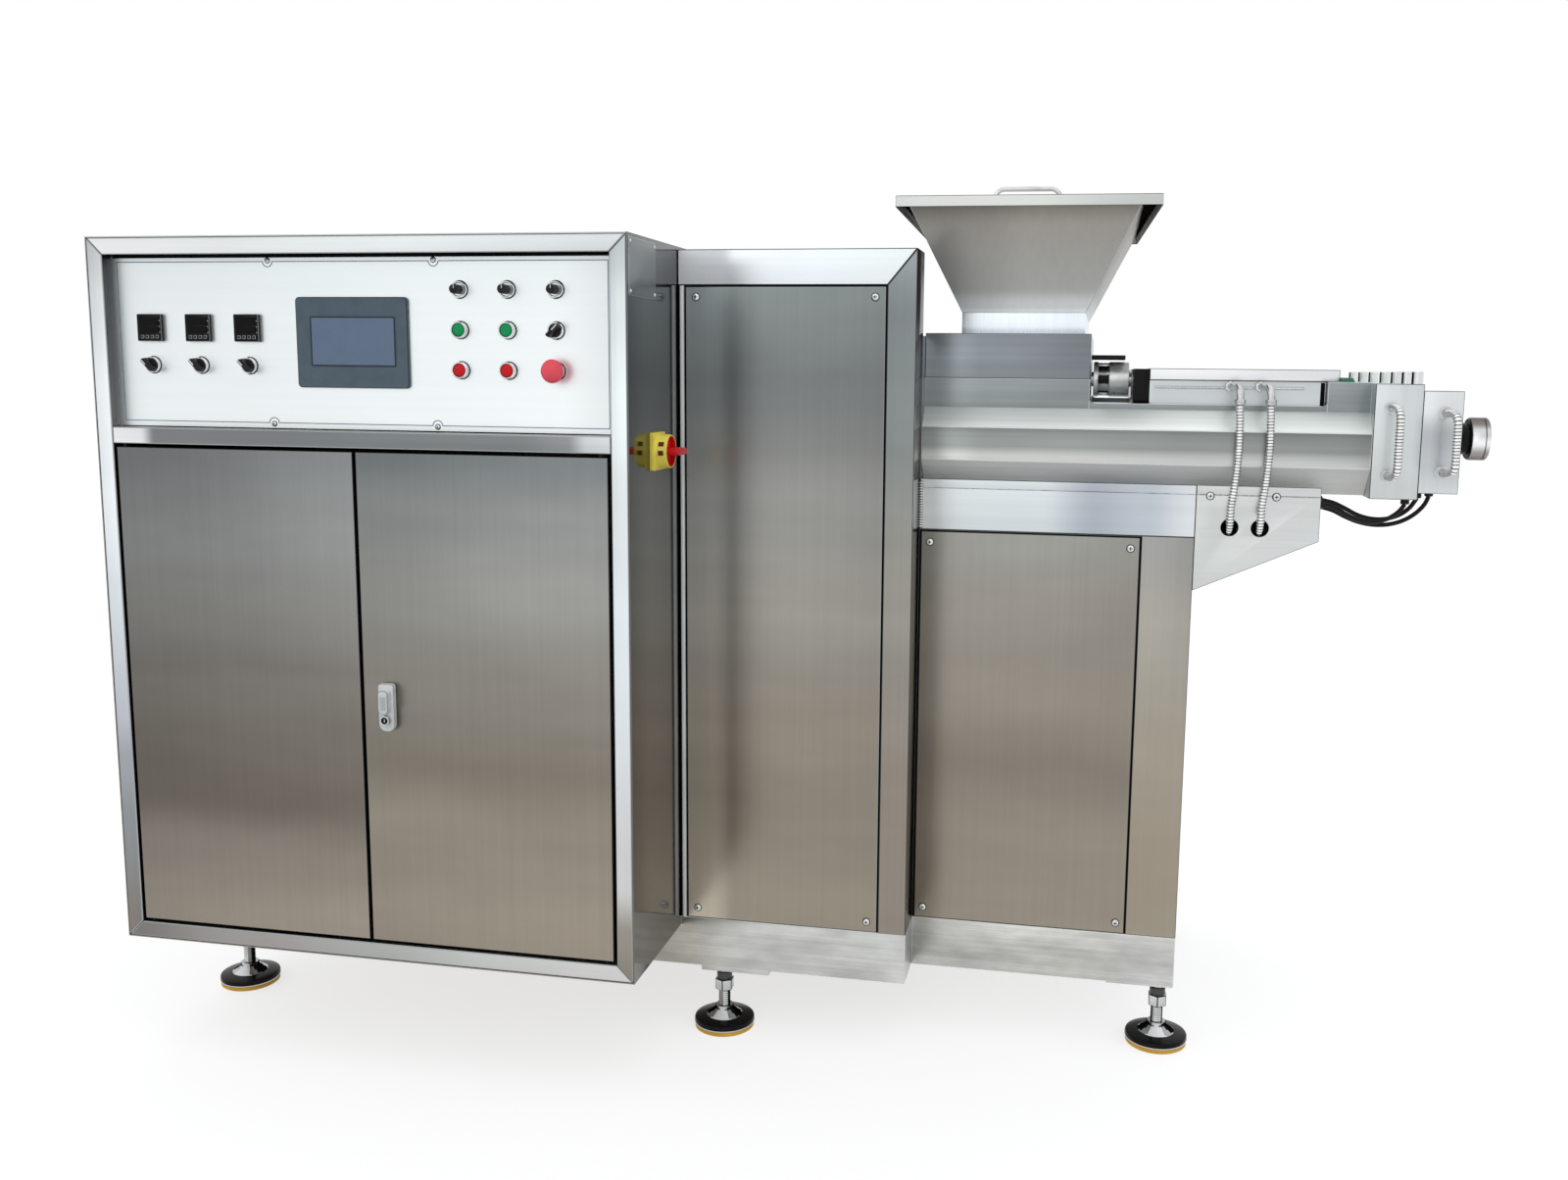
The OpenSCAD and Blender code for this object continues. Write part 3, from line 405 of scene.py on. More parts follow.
class Palette:
    """Finishes of the whole machine. The tone runs of the steel finishes are painted reflections and shade, lighter
    or darker where a sheet would mirror bright or dark surroundings.
    """

    # Painted reflections and shade: the frame bars' tones run lighter and darker along them, darker towards the floor
    # on the posts.
    left_post = SteelFinish("left post steel", ((222, 130, 124, 119), (450, 138, 142, 144), (560, 158, 161, 167),
        (660, 184, 187, 194), (850, 211, 217, 221), (1050, 226, 231, 235), (1250, 229, 232, 234),
        (1400, 212, 215, 216), (1508, 190, 193, 194)), patches=0.05)
    right_post = SteelFinish("right post steel", ((222, 140, 134, 122), (310, 152, 147, 137), (400, 205, 206, 206),
        (850, 219, 226, 230), (1050, 216, 220, 222), (1250, 228, 236, 237), (1380, 214, 221, 222),
        (1508, 184, 192, 193)), patches=0.04)
    middle_rail = SteelFinish("middle rail steel", ((30, 228, 230, 231), (86, 224, 226, 227), (116, 124, 126, 128),
        (300, 122, 124, 126), (500, 121, 127, 128), (800, 120, 123, 124), (890, 134, 136, 138), (930, 190, 194, 196),
        (970, 198, 201, 202)), Axis.X, Grain.LENGTHWISE, patches=0.05)
    pale_rail = SteelFinish("pale rail steel", ((0, 232, 235, 235), (500, 222, 226, 227), (1000, 208, 212, 214)),
        Axis.X, Grain.LENGTHWISE, patches=0.06)
    sill_rail = SteelFinish("sill rail steel", ((0, 122, 119, 117), (250, 157, 152, 149), (500, 172, 174, 171),
        (750, 194, 195, 193), (1000, 207, 207, 205)), Axis.X, Grain.LENGTHWISE, patches=0.06)
    # Painted shade: the dark inner face of the left post beside the panel recess.
    recess_shade = SteelFinish("recess steel", ((222, 120, 117, 113), (1150, 112, 113, 114), (1508, 84, 86, 88)))
    shadow_steel = SteelFinish("shadowed steel", ((0, 34, 35, 36),), rough=0.5, edge=0.02)
    # Painted shade: dark lines along broken edges, the default rim of trim.
    edge = SteelFinish("edge steel", ((0, 76, 77, 77),), rough=0.3, bump=0.0)
    # Painted edge lines: darker than the pale frame steel and the white lock, a painted highlight on black plastics.
    pale_edge = SteelFinish("pale edge steel", ((0, 158, 161, 162),), rough=0.3, bump=0.0)
    # Painted highlight: a bright line along the jacket's folds.
    fold = SteelFinish("fold highlight steel", ((0, 226, 229, 228),), rough=0.4, metal=0.5, bump=0.0)
    panel = SteelFinish("panel steel", ((1178, 234, 239, 239), (1330, 232, 237, 238), (1478, 227, 233, 235)),
        grain=Grain.LENGTHWISE, rough=0.4, lines=0.012, streaks=0.01, patches=0.02, across=((30, 1.0), (880, 1.0),
        (970, 0.86)))
    panel_line = PolymerFinish("panel line", (132, 150, 166))
    # Painted reflections: the doors run in light and dark bands up their height and grow lighter towards the right.
    left_door = SteelFinish("left door steel", ((258, 151, 142, 130), (400, 134, 126, 117), (500, 105, 99, 91),
        (620, 109, 104, 97), (740, 115, 112, 107), (840, 128, 127, 123), (980, 129, 131, 130), (1142, 117, 120, 121)),
        patches=0.09, across=((38, 0.85), (270, 1.0), (497, 1.16)))
    right_door = SteelFinish("right door steel", ((258, 153, 144, 131), (480, 144, 136, 124), (600, 126, 120, 110),
        (740, 134, 130, 123), (900, 143, 143, 139), (1040, 134, 137, 136), (1142, 116, 121, 123)), patches=0.08,
        across=((503, 0.94), (740, 1.0), (962, 1.05)))
    # Painted reflections up the cover; it is painted much lighter and less metallic at its left end, where the
    # cabinet's corner would shade it.
    cover = SteelFinish("cover steel", ((238, 155, 147, 133), (420, 141, 133, 121), (600, 140, 132, 121),
        (850, 145, 142, 135), (1050, 138, 138, 135), (1250, 114, 118, 118), (1438, 126, 132, 132)), patches=0.08,
        across=((1012, 2.4), (1060, 2.2), (1110, 1.08), (1384, 1.0)), metal_across=((1012, 0.5), (1070, 0.55),
        (1110, 1.0), (1384, 1.0)))
    low_cover = SteelFinish("low cover steel", ((238, 153, 145, 132), (400, 146, 137, 126), (550, 132, 125, 115),
        (700, 147, 141, 131), (850, 145, 140, 133), (994, 146, 146, 141)), patches=0.07)
    column_post = SteelFinish("column post steel", ((140, 150, 142, 133), (500, 145, 136, 127), (900, 147, 145, 138),
        (1200, 130, 136, 135), (1400, 124, 130, 131), (1505, 142, 148, 150)))
    # Painted reflection: the column's right side goes dark from about 1366 up, where it mirrors the dark lid.
    column_side = SteelFinish("column side steel", ((140, 176, 172, 166), (1000, 190, 189, 186),
        (1300, 178, 179, 179), (1366, 84, 87, 88), (1505, 66, 69, 70)), rough=0.14, bump=0.02, edge=0.5)
    # Painted light: the rail is near white and not metallic at its left end, where the cabinet's side would shade it.
    column_rail = SteelFinish("column rail steel", ((1000, 250, 252, 254), (1100, 238, 242, 246),
        (1220, 228, 234, 239), (1440, 224, 231, 232)), Axis.X, Grain.LENGTHWISE, patches=0.03,
        metal_across=((1000, 0.0), (1080, 0.1), (1112, 1.0), (1440, 1.0)))
    # Painted shade: the rail is darker at its left end beside the cabinet; its strong patches and streaks are mottle
    # in the sheet.
    low_rail = SteelFinish("low rail steel", ((1000, 160, 156, 148), (1120, 198, 198, 195), (1430, 196, 197, 194),
        (1460, 182, 182, 177), (1620, 196, 196, 191), (1750, 185, 185, 180), (1940, 198, 198, 196)), Axis.X,
        Grain.LENGTHWISE, lines=0.1, streaks=0.08, patches=0.2, patch_size=8.0, patch_stretch=(0.8, 0.8, 1.8))
    glint = SteelFinish("glint steel", ((0, 244, 246, 246),), rough=0.5, metal=0.3, bump=0.0)
    base_post = SteelFinish("base post steel", ((140, 162, 154, 138), (400, 155, 145, 131), (600, 158, 151, 138),
        (800, 163, 159, 150), (998, 150, 150, 148)), patches=0.05)
    housing = SteelFinish("housing steel", ((140, 158, 152, 144), (700, 150, 148, 144), (1355, 176, 178, 179)))
    # Painted reflection: the polished side is a dark tone, as it mirrors dark surroundings.
    mirror = SteelFinish("polished side steel", ((222, 118, 114, 107), (700, 108, 106, 102), (1000, 98, 99, 98),
        (1508, 101, 105, 107)), rough=0.12, lines=0.03, streaks=0.04, bump=0.02)
    cabinet_sheet = SteelFinish("cabinet sheet steel", ((222, 150, 142, 132), (800, 146, 144, 140),
        (1510, 170, 174, 176)))
    top_sheet = SteelFinish("top sheet steel", ((0, 196, 199, 200), (1100, 184, 187, 188)), Axis.Y, Grain.LENGTHWISE)
    # Painted reflections: the jacket's front runs in light and dark bands up its height, with broad streaks for
    # banded reflections, and is painted lighter towards its left end.
    jacket = SteelFinish("jacket steel", ((1120, 208, 210, 207), (1136, 198, 200, 197), (1156, 150, 155, 153),
        (1176, 140, 145, 143), (1190, 128, 132, 130), (1228, 136, 142, 143), (1279, 140, 146, 149)),
        grain=Grain.LENGTHWISE, streaks=0.06, patches=0.08, patch_stretch=(1.2, 1.2, 3.0), across=((1440, 1.5),
        (1490, 1.26), (1560, 1.0), (2234, 1.0)))
    # Painted highlights: the upper chamfer is a lit copy of the jacket steel, and the downward-facing lower chamfer
    # is painted bright too.
    lit_upper_slope = SteelFinish("upper slope highlight steel", ((1190, 244, 249, 246), (1204, 226, 232, 229),
        (1226, 204, 210, 208)), grain=Grain.LENGTHWISE, rough=0.45, streaks=0.05, patches=0.06, across=((1440, 0.9),
        (1560, 1.16), (1740, 1.08), (1800, 1.0), (2234, 0.86)), metal_across=((1440, 0.1), (1740, 0.15), (1790, 0.85),
        (2234, 0.85)))
    lit_lower_slope = SteelFinish("lower slope highlight steel", ((1085, 250, 250, 246), (1128, 238, 240, 238)),
        grain=Grain.LENGTHWISE, rough=0.6, metal=0.1, streaks=0.05, patches=0.06)
    # Painted light: the feed block is painted lighter towards its left end.
    feed_block = SteelFinish("feed block steel", ((1279, 132, 138, 142), (1361, 130, 136, 141)),
        grain=Grain.LENGTHWISE, streaks=0.07, patches=0.07, patch_stretch=(1.2, 1.2, 3.0), across=((1440, 1.7),
        (1490, 1.35), (1550, 1.0), (1744, 0.9)))
    beam = SteelFinish("beam steel", ((1440, 244, 248, 249), (1500, 215, 221, 223), (1660, 211, 218, 221),
        (1760, 173, 180, 189), (1850, 190, 198, 206), (1940, 224, 228, 231)), Axis.X, Grain.LENGTHWISE, metal=0.8,
        patches=0.03)
    bracket = SteelFinish("bracket steel", ((1940, 197, 201, 199), (2154, 206, 208, 208)), Axis.X, Grain.LENGTHWISE,
        patches=0.05)
    # Painted reflections: the neck is near white, a painted highlight, and the hopper goes from light at the neck to
    # dark at the rim, lighter on its left.
    neck = SteelFinish("neck steel", ((1361, 238, 244, 250), (1401, 234, 240, 246)), rough=0.3, patches=0.03)
    hopper = SteelFinish("hopper steel", ((1400, 226, 230, 233), (1412, 202, 204, 204), (1445, 163, 164, 160),
        (1500, 158, 156, 151), (1545, 155, 151, 145), (1597, 128, 121, 112)), rough=0.42, patches=0.04,
        metal_across=((1410, 0.25), (1540, 0.4), (1640, 0.85), (1830, 0.85)), across=((1410, 1.1), (1540, 1.08),
        (1640, 1.0)))
    lid = SteelFinish("lid steel", ((1385, 199, 201, 200), (1650, 204, 207, 202), (1851, 194, 198, 196)), Axis.X,
        Grain.LENGTHWISE, patches=0.04)
    drive_lid = SteelFinish("drive lid steel", ((0, 227, 230, 232),), grain=Grain.LENGTHWISE, patches=0.04)
    satin = SteelFinish("satin steel", ((0, 198, 203, 204),), grain=Grain.LENGTHWISE, patches=0.07)
    head = SteelFinish("head steel", ((1076, 194, 197, 197), (1277, 212, 218, 219)), patches=0.06)
    # Painted reflection: the die blocks are darker in the middle of their height, where they mirror the hoses.
    die = SteelFinish("die steel", ((1087, 202, 206, 207), (1140, 184, 188, 191), (1190, 174, 178, 182),
        (1240, 218, 221, 224), (1265, 222, 226, 229)), patches=0.05)
    bright = SteelFinish("bright metal", ((0, 196, 198, 198),), grain=Grain.CAST, rough=0.2, patches=0.14,
        patch_size=18.0, bump=0.0)
    ring = SteelFinish("ring metal", ((0, 206, 208, 209),), grain=Grain.CAST, rough=0.16, patches=0.16,
        patch_size=24.0, bump=0.0)
    chrome = SteelFinish("chrome", ((0, 168, 171, 174),), grain=Grain.CAST, rough=0.08, patches=0.2, patch_size=20.0,
        bump=0.0)
    # Painted reflections: the nozzles run in dark and bright bands up their height, as chrome mirrors its
    # surroundings.
    nozzle = SteelFinish("nozzle chrome", ((1143, 60, 52, 50), (1155, 150, 142, 140), (1175, 236, 237, 237),
        (1195, 206, 207, 209), (1210, 120, 114, 112), (1220, 70, 65, 63)), grain=Grain.CAST, rough=0.14, patches=0.08,
        patch_size=20.0, bump=0.0)
    hose = SteelFinish("hose steel", ((0, 242, 243, 243),), grain=Grain.CAST, rough=0.26, patches=0.1,
        patch_size=30.0, bump=0.0)
    # Painted shade in the hose's grooves and down its left and right sides.
    groove = SteelFinish("hose groove and side shade", ((0, 104, 105, 106),), grain=Grain.CAST, rough=0.34, patches=0.1,
        patch_size=30.0, bump=0.0)
    # Painted light: the coupling is near white and only half metallic, so it stays bright among the dark parts around
    # it.
    coupling = SteelFinish("coupling metal", ((0, 250, 252, 252),), grain=Grain.CAST, rough=0.3, metal=0.6,
        patches=0.06, patch_size=18.0, bump=0.0)
    hub = SteelFinish("turned hub metal", ((0, 232, 234, 234),), grain=Grain.CAST, rough=0.22, metal=0.6,
        patches=0.08, patch_size=18.0, bump=0.0)
    plate = SteelFinish("bare plate", ((0, 136, 141, 142),), grain=Grain.LENGTHWISE, rough=0.3, patches=0.06)
    slot_shadow = PolymerFinish("slot shadow", (24, 24, 25), rough=0.7, gloss=0.0)
    white_plastic = PolymerFinish("white plastic", (226, 228, 227), rough=0.35, coat=0.2, gloss=0.4)
    slate = PolymerFinish("slate plastic", (90, 105, 116), rough=0.45)
    dark_slate = PolymerFinish("dark slate plastic", (50, 58, 66), rough=0.4)
    display = PolymerFinish("dark display", (110, 128, 152), rough=0.16, speckle=0.03, bump=0.0)
    black = PolymerFinish("black plastic", (28, 29, 31), rough=0.4)
    gloss_black = PolymerFinish("gloss black", (14, 14, 15), rough=0.2, bump=0.02, gloss=0.12)
    window = PolymerFinish("dark window", (10, 11, 13), rough=0.16, bump=0.0, gloss=0.1)
    slot_brown = PolymerFinish("slot brown", (112, 48, 24), rough=0.6)
    green = PolymerFinish("green plastic", (14, 160, 94), rough=0.3)
    red = PolymerFinish("red plastic", (226, 26, 32), rough=0.3)
    coral = PolymerFinish("stop red plastic", (252, 92, 106), rough=0.34)
    yellow = PolymerFinish("yellow plastic", (255, 236, 92), rough=0.38, gloss=0.5)
    amber = PolymerFinish("amber rubber", (240, 186, 76), rough=0.5)
    cable = PolymerFinish("cable rubber", (26, 26, 28), rough=0.5)
    gasket = PolymerFinish("gasket green", (66, 128, 100), rough=0.55)


def only(obj: Piece) -> None:
    """Selects one object and makes it active.

    Args:
        obj: The object to work on.
    """
    bpy.ops.object.select_all(action="DESELECT")
    obj.select_set(True)
    bpy.context.view_layer.objects.active = obj


def rename(obj: Piece, name: str) -> Piece:
    """Names an object and its mesh."""
    obj.name = obj.data.name = name
    return obj


def settle(name: str) -> Piece:
    """Names the newest primitive and bakes its place into its mesh."""
    bpy.ops.object.transform_apply(location=True, rotation=True, scale=True)
    return rename(bpy.context.object, name)


@contextmanager
def editing(obj: Piece, kind: str = "FACE") -> Iterator[None]:
    """Opens an object in edit mode with nothing selected.

    Args:
        obj: The object to edit.
        kind: What is selected, VERT, EDGE or FACE.

    Yields:
        Nothing; edit mode is left afterwards.
    """
    only(obj)
    bpy.ops.object.mode_set(mode="EDIT")
    bpy.ops.mesh.select_mode(type=kind)
    bpy.ops.mesh.select_all(action="DESELECT")
    yield
    bpy.ops.object.mode_set(mode="OBJECT")


def pick_faces(obj: Piece, test: Test) -> None:
    """Selects faces of the object in edit mode.

    Args:
        obj: The object in edit mode.
        test: Takes a face's middle in millimetres and its normal.
    """
    bpy.ops.mesh.select_all(action="DESELECT")
    mesh = bmesh.from_edit_mesh(obj.data)
    for face in mesh.faces:
        if test(machine_mm(face.calc_center_median()), face.normal):
            face.select_set(True)
    bmesh.update_edit_mesh(obj.data)


def pick_edges(obj: Piece, test: Test) -> None:
    """Selects edges of the object in edit mode.

    Args:
        obj: The object in edit mode.
        test: Takes the edge's two ends in millimetres.
    """
    bpy.ops.mesh.select_all(action="DESELECT")
    mesh = bmesh.from_edit_mesh(obj.data)
    for edge in mesh.edges:
        if test(*(machine_mm(vert.co) for vert in edge.verts)):
            edge.select_set(True)
    bmesh.update_edit_mesh(obj.data)


def facing(*normal: float) -> Test:
    """Makes a test for faces that look one way."""
    way = Vector(normal)
    return lambda _, look: look.dot(way) > 0.9


def dress(obj: Piece, finish: Finish) -> Piece:
    """Gives a piece one finish.

    Args:
        obj: The piece.
        finish: The finish.

    Returns:
        The piece.
    """
    obj.data.materials.clear()
    obj.data.materials.append(finish.material())
    return obj


def paint(obj: Piece, finish: Finish, test: Test) -> Piece:
    """Gives some faces of a piece another finish.

    Args:
        obj: The piece.
        finish: The finish.
        test: Takes a face's middle in millimetres and its normal.

    Returns:
        The piece.
    """
    obj.data.materials.append(finish.material())
    last = len(obj.data.materials) - 1
    for face in obj.data.polygons:
        if test(machine_mm(face.center), face.normal):
            face.material_index = last
    return obj


def smooth(obj: Piece, angle: float = 38.0) -> Piece:
    """Shades a piece smooth up to an angle.

    Args:
        obj: The object.
        angle: Sharper edges than this stay sharp, in degrees.

    Returns:
        The object.
    """
    only(obj)
    bpy.ops.object.shade_smooth_by_angle(angle=math.radians(angle))
    return obj


def soften(obj: Piece, width: float, segments: int = 2, angle: float = 40.0, slot: int = -1) -> Piece:
    """Breaks the sharp edges and smooths what lies between them.

    Args:
        obj: The object.
        width: Width of the broken edges.
        segments: Facets across them.
        angle: Edges sharper than this are broken, in degrees.
        slot: Number of the finish that they get, or -1 for that of the faces beside them.

    Returns:
        The object.
    """
    only(obj)
    edge = obj.modifiers.new("broken edges", "BEVEL")
    edge.width = width * MM
    edge.segments = segments
    edge.limit_method = "ANGLE"
    edge.angle_limit = math.radians(angle)
    edge.material = slot
    bpy.ops.object.modifier_apply(modifier=edge.name)
    return smooth(obj)


def trim(
    obj: Piece, finish: Finish, width: float = 1.2, rim: Finish = Palette.edge, segments: int = 2, angle: float = 40.0
) -> Piece:
    """Dresses a piece and breaks its sharp edges in the finish of a rim; the default rim paints a dark shade line
    along them.
    """
    dress(obj, finish).data.materials.append(rim.material())
    return soften(obj, width, segments, angle, 1)


def block(name: str, low: Sequence[float], high: Sequence[float]) -> Piece:
    """Models a box between two corners.

    Args:
        name: Plain name of the piece.
        low: Corner with the lowest coordinates.
        high: Corner with the highest coordinates.

    Returns:
        The box.
    """
    start, end = spot(low), spot(high)
    bpy.ops.object.select_all(action="DESELECT")
    bpy.ops.mesh.primitive_cube_add(size=1.0, location=(start + end) / 2.0)
    bpy.context.object.scale = end - start
    return settle(name)


def slab(
    name: str, low: Sequence[float], high: Sequence[float], finish: Finish, width: float, segments: int = 2
) -> Piece:
    """Models a box with broken edges in one finish."""
    return dress(soften(block(name, low, high), width, segments), finish)


def rod(name: str, start: Sequence[float], axis: Axis, diameter: float, length: float, sides: int) -> Piece:
    """Models a round or many-sided bar.

    Args:
        name: Plain name of the piece.
        start: Middle of its first end.
        axis: Direction it runs in.
        diameter: Its diameter.
        length: Its length.
        sides: Facets around it.

    Returns:
        The bar.
    """
    turns = {Axis.X: (0.0, math.pi / 2, 0.0), Axis.Y: (math.pi / 2, 0.0, 0.0), Axis.Z: ZERO}
    middle = spot(start) + Vector(axis.value) * (length * MM / 2)
    bpy.ops.object.select_all(action="DESELECT")
    bpy.ops.mesh.primitive_cylinder_add(
        vertices=sides, radius=diameter * MM / 2, depth=length * MM, location=middle, rotation=turns[axis])
    return settle(name)


def lathe(
    name: str, profile: Pairs, base: Sequence[float], axis: Axis, finish: Finish, steps: int = 40,
    angle: float = 40.0, ring: bool = False,
) -> Piece:
    """Spins a profile around an axis and dresses it.

    Args:
        name: Plain name of the piece.
        profile: Pairs of radius and distance along the axis.
        base: Point on the axis that the distances count from.
        axis: The axis.
        finish: Its finish.
        steps: Facets around it.
        angle: Sharper edges than this stay sharp, in degrees.
        ring: Whether the profile closes on itself away from the axis.

    Returns:
        The turned piece.
    """
    along = Vector(axis.value)
    out = Vector((1.0, 0.0, 0.0)) if axis is Axis.Z else Vector((0.0, 0.0, 1.0))
    root = spot(base)
    bpy.ops.object.select_all(action="DESELECT")
    bpy.ops.mesh.primitive_circle_add(vertices=len(profile), radius=0.01)
    obj = settle(name)
    with editing(obj, "EDGE"):
        mesh = bmesh.from_edit_mesh(obj.data)
        mesh.verts.ensure_lookup_table()
        for vert, (radius, far) in zip(mesh.verts, profile):
            vert.co = root + (along * far + out * radius) * MM
        first, last = mesh.verts[0], mesh.verts[-1]
        for edge in mesh.edges:
            edge.select_set(not ring and first in edge.verts and last in edge.verts)
        bmesh.update_edit_mesh(obj.data)
        if not ring:
            bpy.ops.mesh.delete(type="EDGE")
        bpy.ops.mesh.select_all(action="SELECT")
        bpy.ops.mesh.spin(steps=steps, angle=math.tau, center=root, axis=along)
        bpy.ops.mesh.select_all(action="SELECT")
        bpy.ops.mesh.remove_doubles(threshold=0.00001)
        bpy.ops.mesh.normals_make_consistent(inside=False)
    return smooth(dress(obj, finish), angle)


def tube(
    name: str, path: Sequence[Vector], diameter: float, finish: Finish, facets: int, angle: float = 60.0,
    swell: Sequence[float] = (1.0,),
) -> Piece:
    """Sweeps a round section along a path, makes it a mesh and dresses it.

    Args:
        name: Plain name of the piece.
        path: Points of its centre line, in metres.
        diameter: Its diameter in millimetres.
        finish: Its finish.
        facets: Facets in a quarter of the section.
        angle: Sharper edges than this stay sharp, in degrees.
        swell: Shares of the diameter, repeated from point to point.

    Returns:
        The mesh tube.
    """
    line = bpy.data.curves.new(name, "CURVE")
    line.dimensions = "3D"
    line.bevel_depth = diameter * MM / 2
    line.bevel_resolution = facets
    line.use_fill_caps = True
    spline = line.splines.new("POLY")
    spline.points.add(len(path) - 1)
    for number, (point, place) in enumerate(zip(spline.points, path)):
        point.co = (*place, 1.0)
        point.radius = swell[number % len(swell)]
    obj = bpy.data.objects.new(name, line)
    bpy.context.collection.objects.link(obj)
    only(obj)
    bpy.ops.object.convert(target="MESH")
    return smooth(dress(rename(bpy.context.object, name), finish), angle)


def push(obj: Piece, normal: Sequence[float], border: float, depth: float) -> None:
    """Insets the faces that look one way and moves them in or out.

    Args:
        obj: The object.
        normal: Direction that the faces look in.
        border: Width of the border that stays.
        depth: How far they move along their normal.
    """
    with editing(obj):
        pick_faces(obj, facing(*normal))
        bpy.ops.mesh.inset(thickness=border * MM, depth=depth * MM)


def taper(obj: Piece, normal: Sequence[float], scale: Point, centre: Sequence[float]) -> None:
    """Resizes the faces that look one way.

    Args:
        obj: The object.
        normal: Direction that the faces look in.
        scale: Factors along X, Y and Z.
        centre: The point that stays.
    """
    with editing(obj):
        pick_faces(obj, facing(*normal))
        bpy.ops.transform.resize(value=scale, center_override=spot(centre))


def round_corners(obj: Piece, axis: Axis, radius: float, segments: int, test: Test = lambda *_: True) -> None:
    """Rounds edges that run along one axis.

    Args:
        obj: The object.
        axis: Direction of the edges.
        radius: Radius of the corners.
        segments: Facets on each corner.
        test: Takes such an edge's two ends in millimetres.
    """
    way = Vector(axis.value)
    with editing(obj, "EDGE"):
        pick_edges(obj, lambda a, b: abs((b - a).normalized().dot(way)) > 0.99 and test(a, b))
        bpy.ops.mesh.bevel(offset=radius * MM, segments=segments, affect="EDGES")


def cut(obj: Piece, tools: Sequence[Piece]) -> Piece:
    """Takes the shapes of other objects out of one.

    Args:
        obj: The object that is cut.
        tools: The shapes, which are deleted.

    Returns:
        The object.
    """
    for tool in tools:
        only(obj)
        step = obj.modifiers.new("opening", "BOOLEAN")
        step.operation = "DIFFERENCE"
        step.solver = "EXACT"
        step.object = tool
        bpy.ops.object.modifier_apply(modifier=step.name)
        bpy.data.objects.remove(tool, do_unlink=True)
    return obj


def slice_off(obj: Piece, place: Sequence[float], normal: Sequence[float]) -> Piece:
    """Cuts off what lies on one side of a plane.

    Args:
        obj: The piece.
        place: A point on the plane.
        normal: Direction to the side that goes.

    Returns:
        The piece.
    """
    with editing(obj):
        bpy.ops.mesh.select_all(action="SELECT")
        bpy.ops.mesh.bisect(plane_co=spot(place), plane_no=normal, use_fill=True, clear_outer=True)
    return obj


def mitre(
    obj: Piece, start: tuple[float, float], end: tuple[float, float], keep: tuple[float, float]
) -> Piece:
    """Cuts a bar in the front plane and keeps one side.

    Args:
        obj: The bar.
        start: First point of the cut, as X and Z.
        end: Second point of the cut, as X and Z.
        keep: A point on the side that stays, as X and Z.

    Returns:
        The bar.
    """
    across = Vector((end[1] - start[1], 0.0, start[0] - end[0])).normalized()
    if across.dot(Vector((keep[0] - start[0], 0.0, keep[1] - start[1]))) > 0:
        across = -across
    return slice_off(obj, (start[0], 0.0, start[1]), across)


def turn(obj: Piece, axis: Axis, degrees: float, centre: Sequence[float]) -> Piece:
    """Turns the whole mesh around a line.

    Args:
        obj: The object.
        axis: Direction of the line.
        degrees: Angle of the turn.
        centre: A point on the line.

    Returns:
        The object.
    """
    pivot = Matrix.Translation(spot(centre))
    only(obj)
    obj.matrix_world = pivot @ Matrix.Rotation(math.radians(degrees), 4, Vector(axis.value)) @ pivot.inverted()
    bpy.ops.object.transform_apply(location=True, rotation=True, scale=True)
    return obj


def copies(model: Piece, shifts: Sequence[Sequence[float]]) -> list[Piece]:
    """Copies a finished piece, each copy with a mesh of its own.

    Args:
        model: The piece, which is used up.
        shifts: How far each copy lies from it.

    Returns:
        The copies.
    """
    made = []
    for shift in shifts:
        twin = model.copy()
        twin.data = model.data.copy()
        bpy.context.collection.objects.link(twin)
        twin.location = Vector(shift) * MM
        only(twin)
        bpy.ops.object.transform_apply(location=True, rotation=True, scale=True)
        made.append(twin)
    bpy.data.objects.remove(model, do_unlink=True)
    return made


def join(name: str, parts: Sequence[Piece]) -> Piece:
    """Joins pieces into one object.

    Args:
        name: Plain name of the result.
        parts: The pieces, the first of which stays.

    Returns:
        The joined object.
    """
    only(parts[0])
    for part in parts:
        part.select_set(True)
    if len(parts) > 1:
        bpy.ops.object.join()
    return rename(bpy.context.view_layer.objects.active, name)


def hand_over(obj: Piece, slot: str, *nodes: str, body: str = "machine") -> None:
    """Gives a finished piece to the frame.

    Args:
        obj: The piece.
        slot: Material slot of the record; not used.
        nodes: CAD nodes that it stands for.
        body: Body of the frame that it rides on.
    """
    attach(obj, body)
    if nodes:
        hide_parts(*nodes)
    LOG.info("%s: %d faces, rides on %s", obj.name, len(obj.data.polygons), body)


def assemble(name: str, parts: Sequence[Piece], slot: str, *nodes: str, body: str = "machine") -> None:
    """Joins finished pieces and hands them over as one."""
    hand_over(join(name, parts), slot, *nodes, body=body)


def carry_over(finish: Finish, *nodes: str) -> None:
    """Dresses CAD nodes that are shown as they are.

    Args:
        finish: The finish.
        nodes: Names of the nodes.
    """
    for node in nodes:
        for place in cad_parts[node].material_slots:
            place.material = finish.material()
        LOG.info("%s: carried over as %s", node, finish.name)


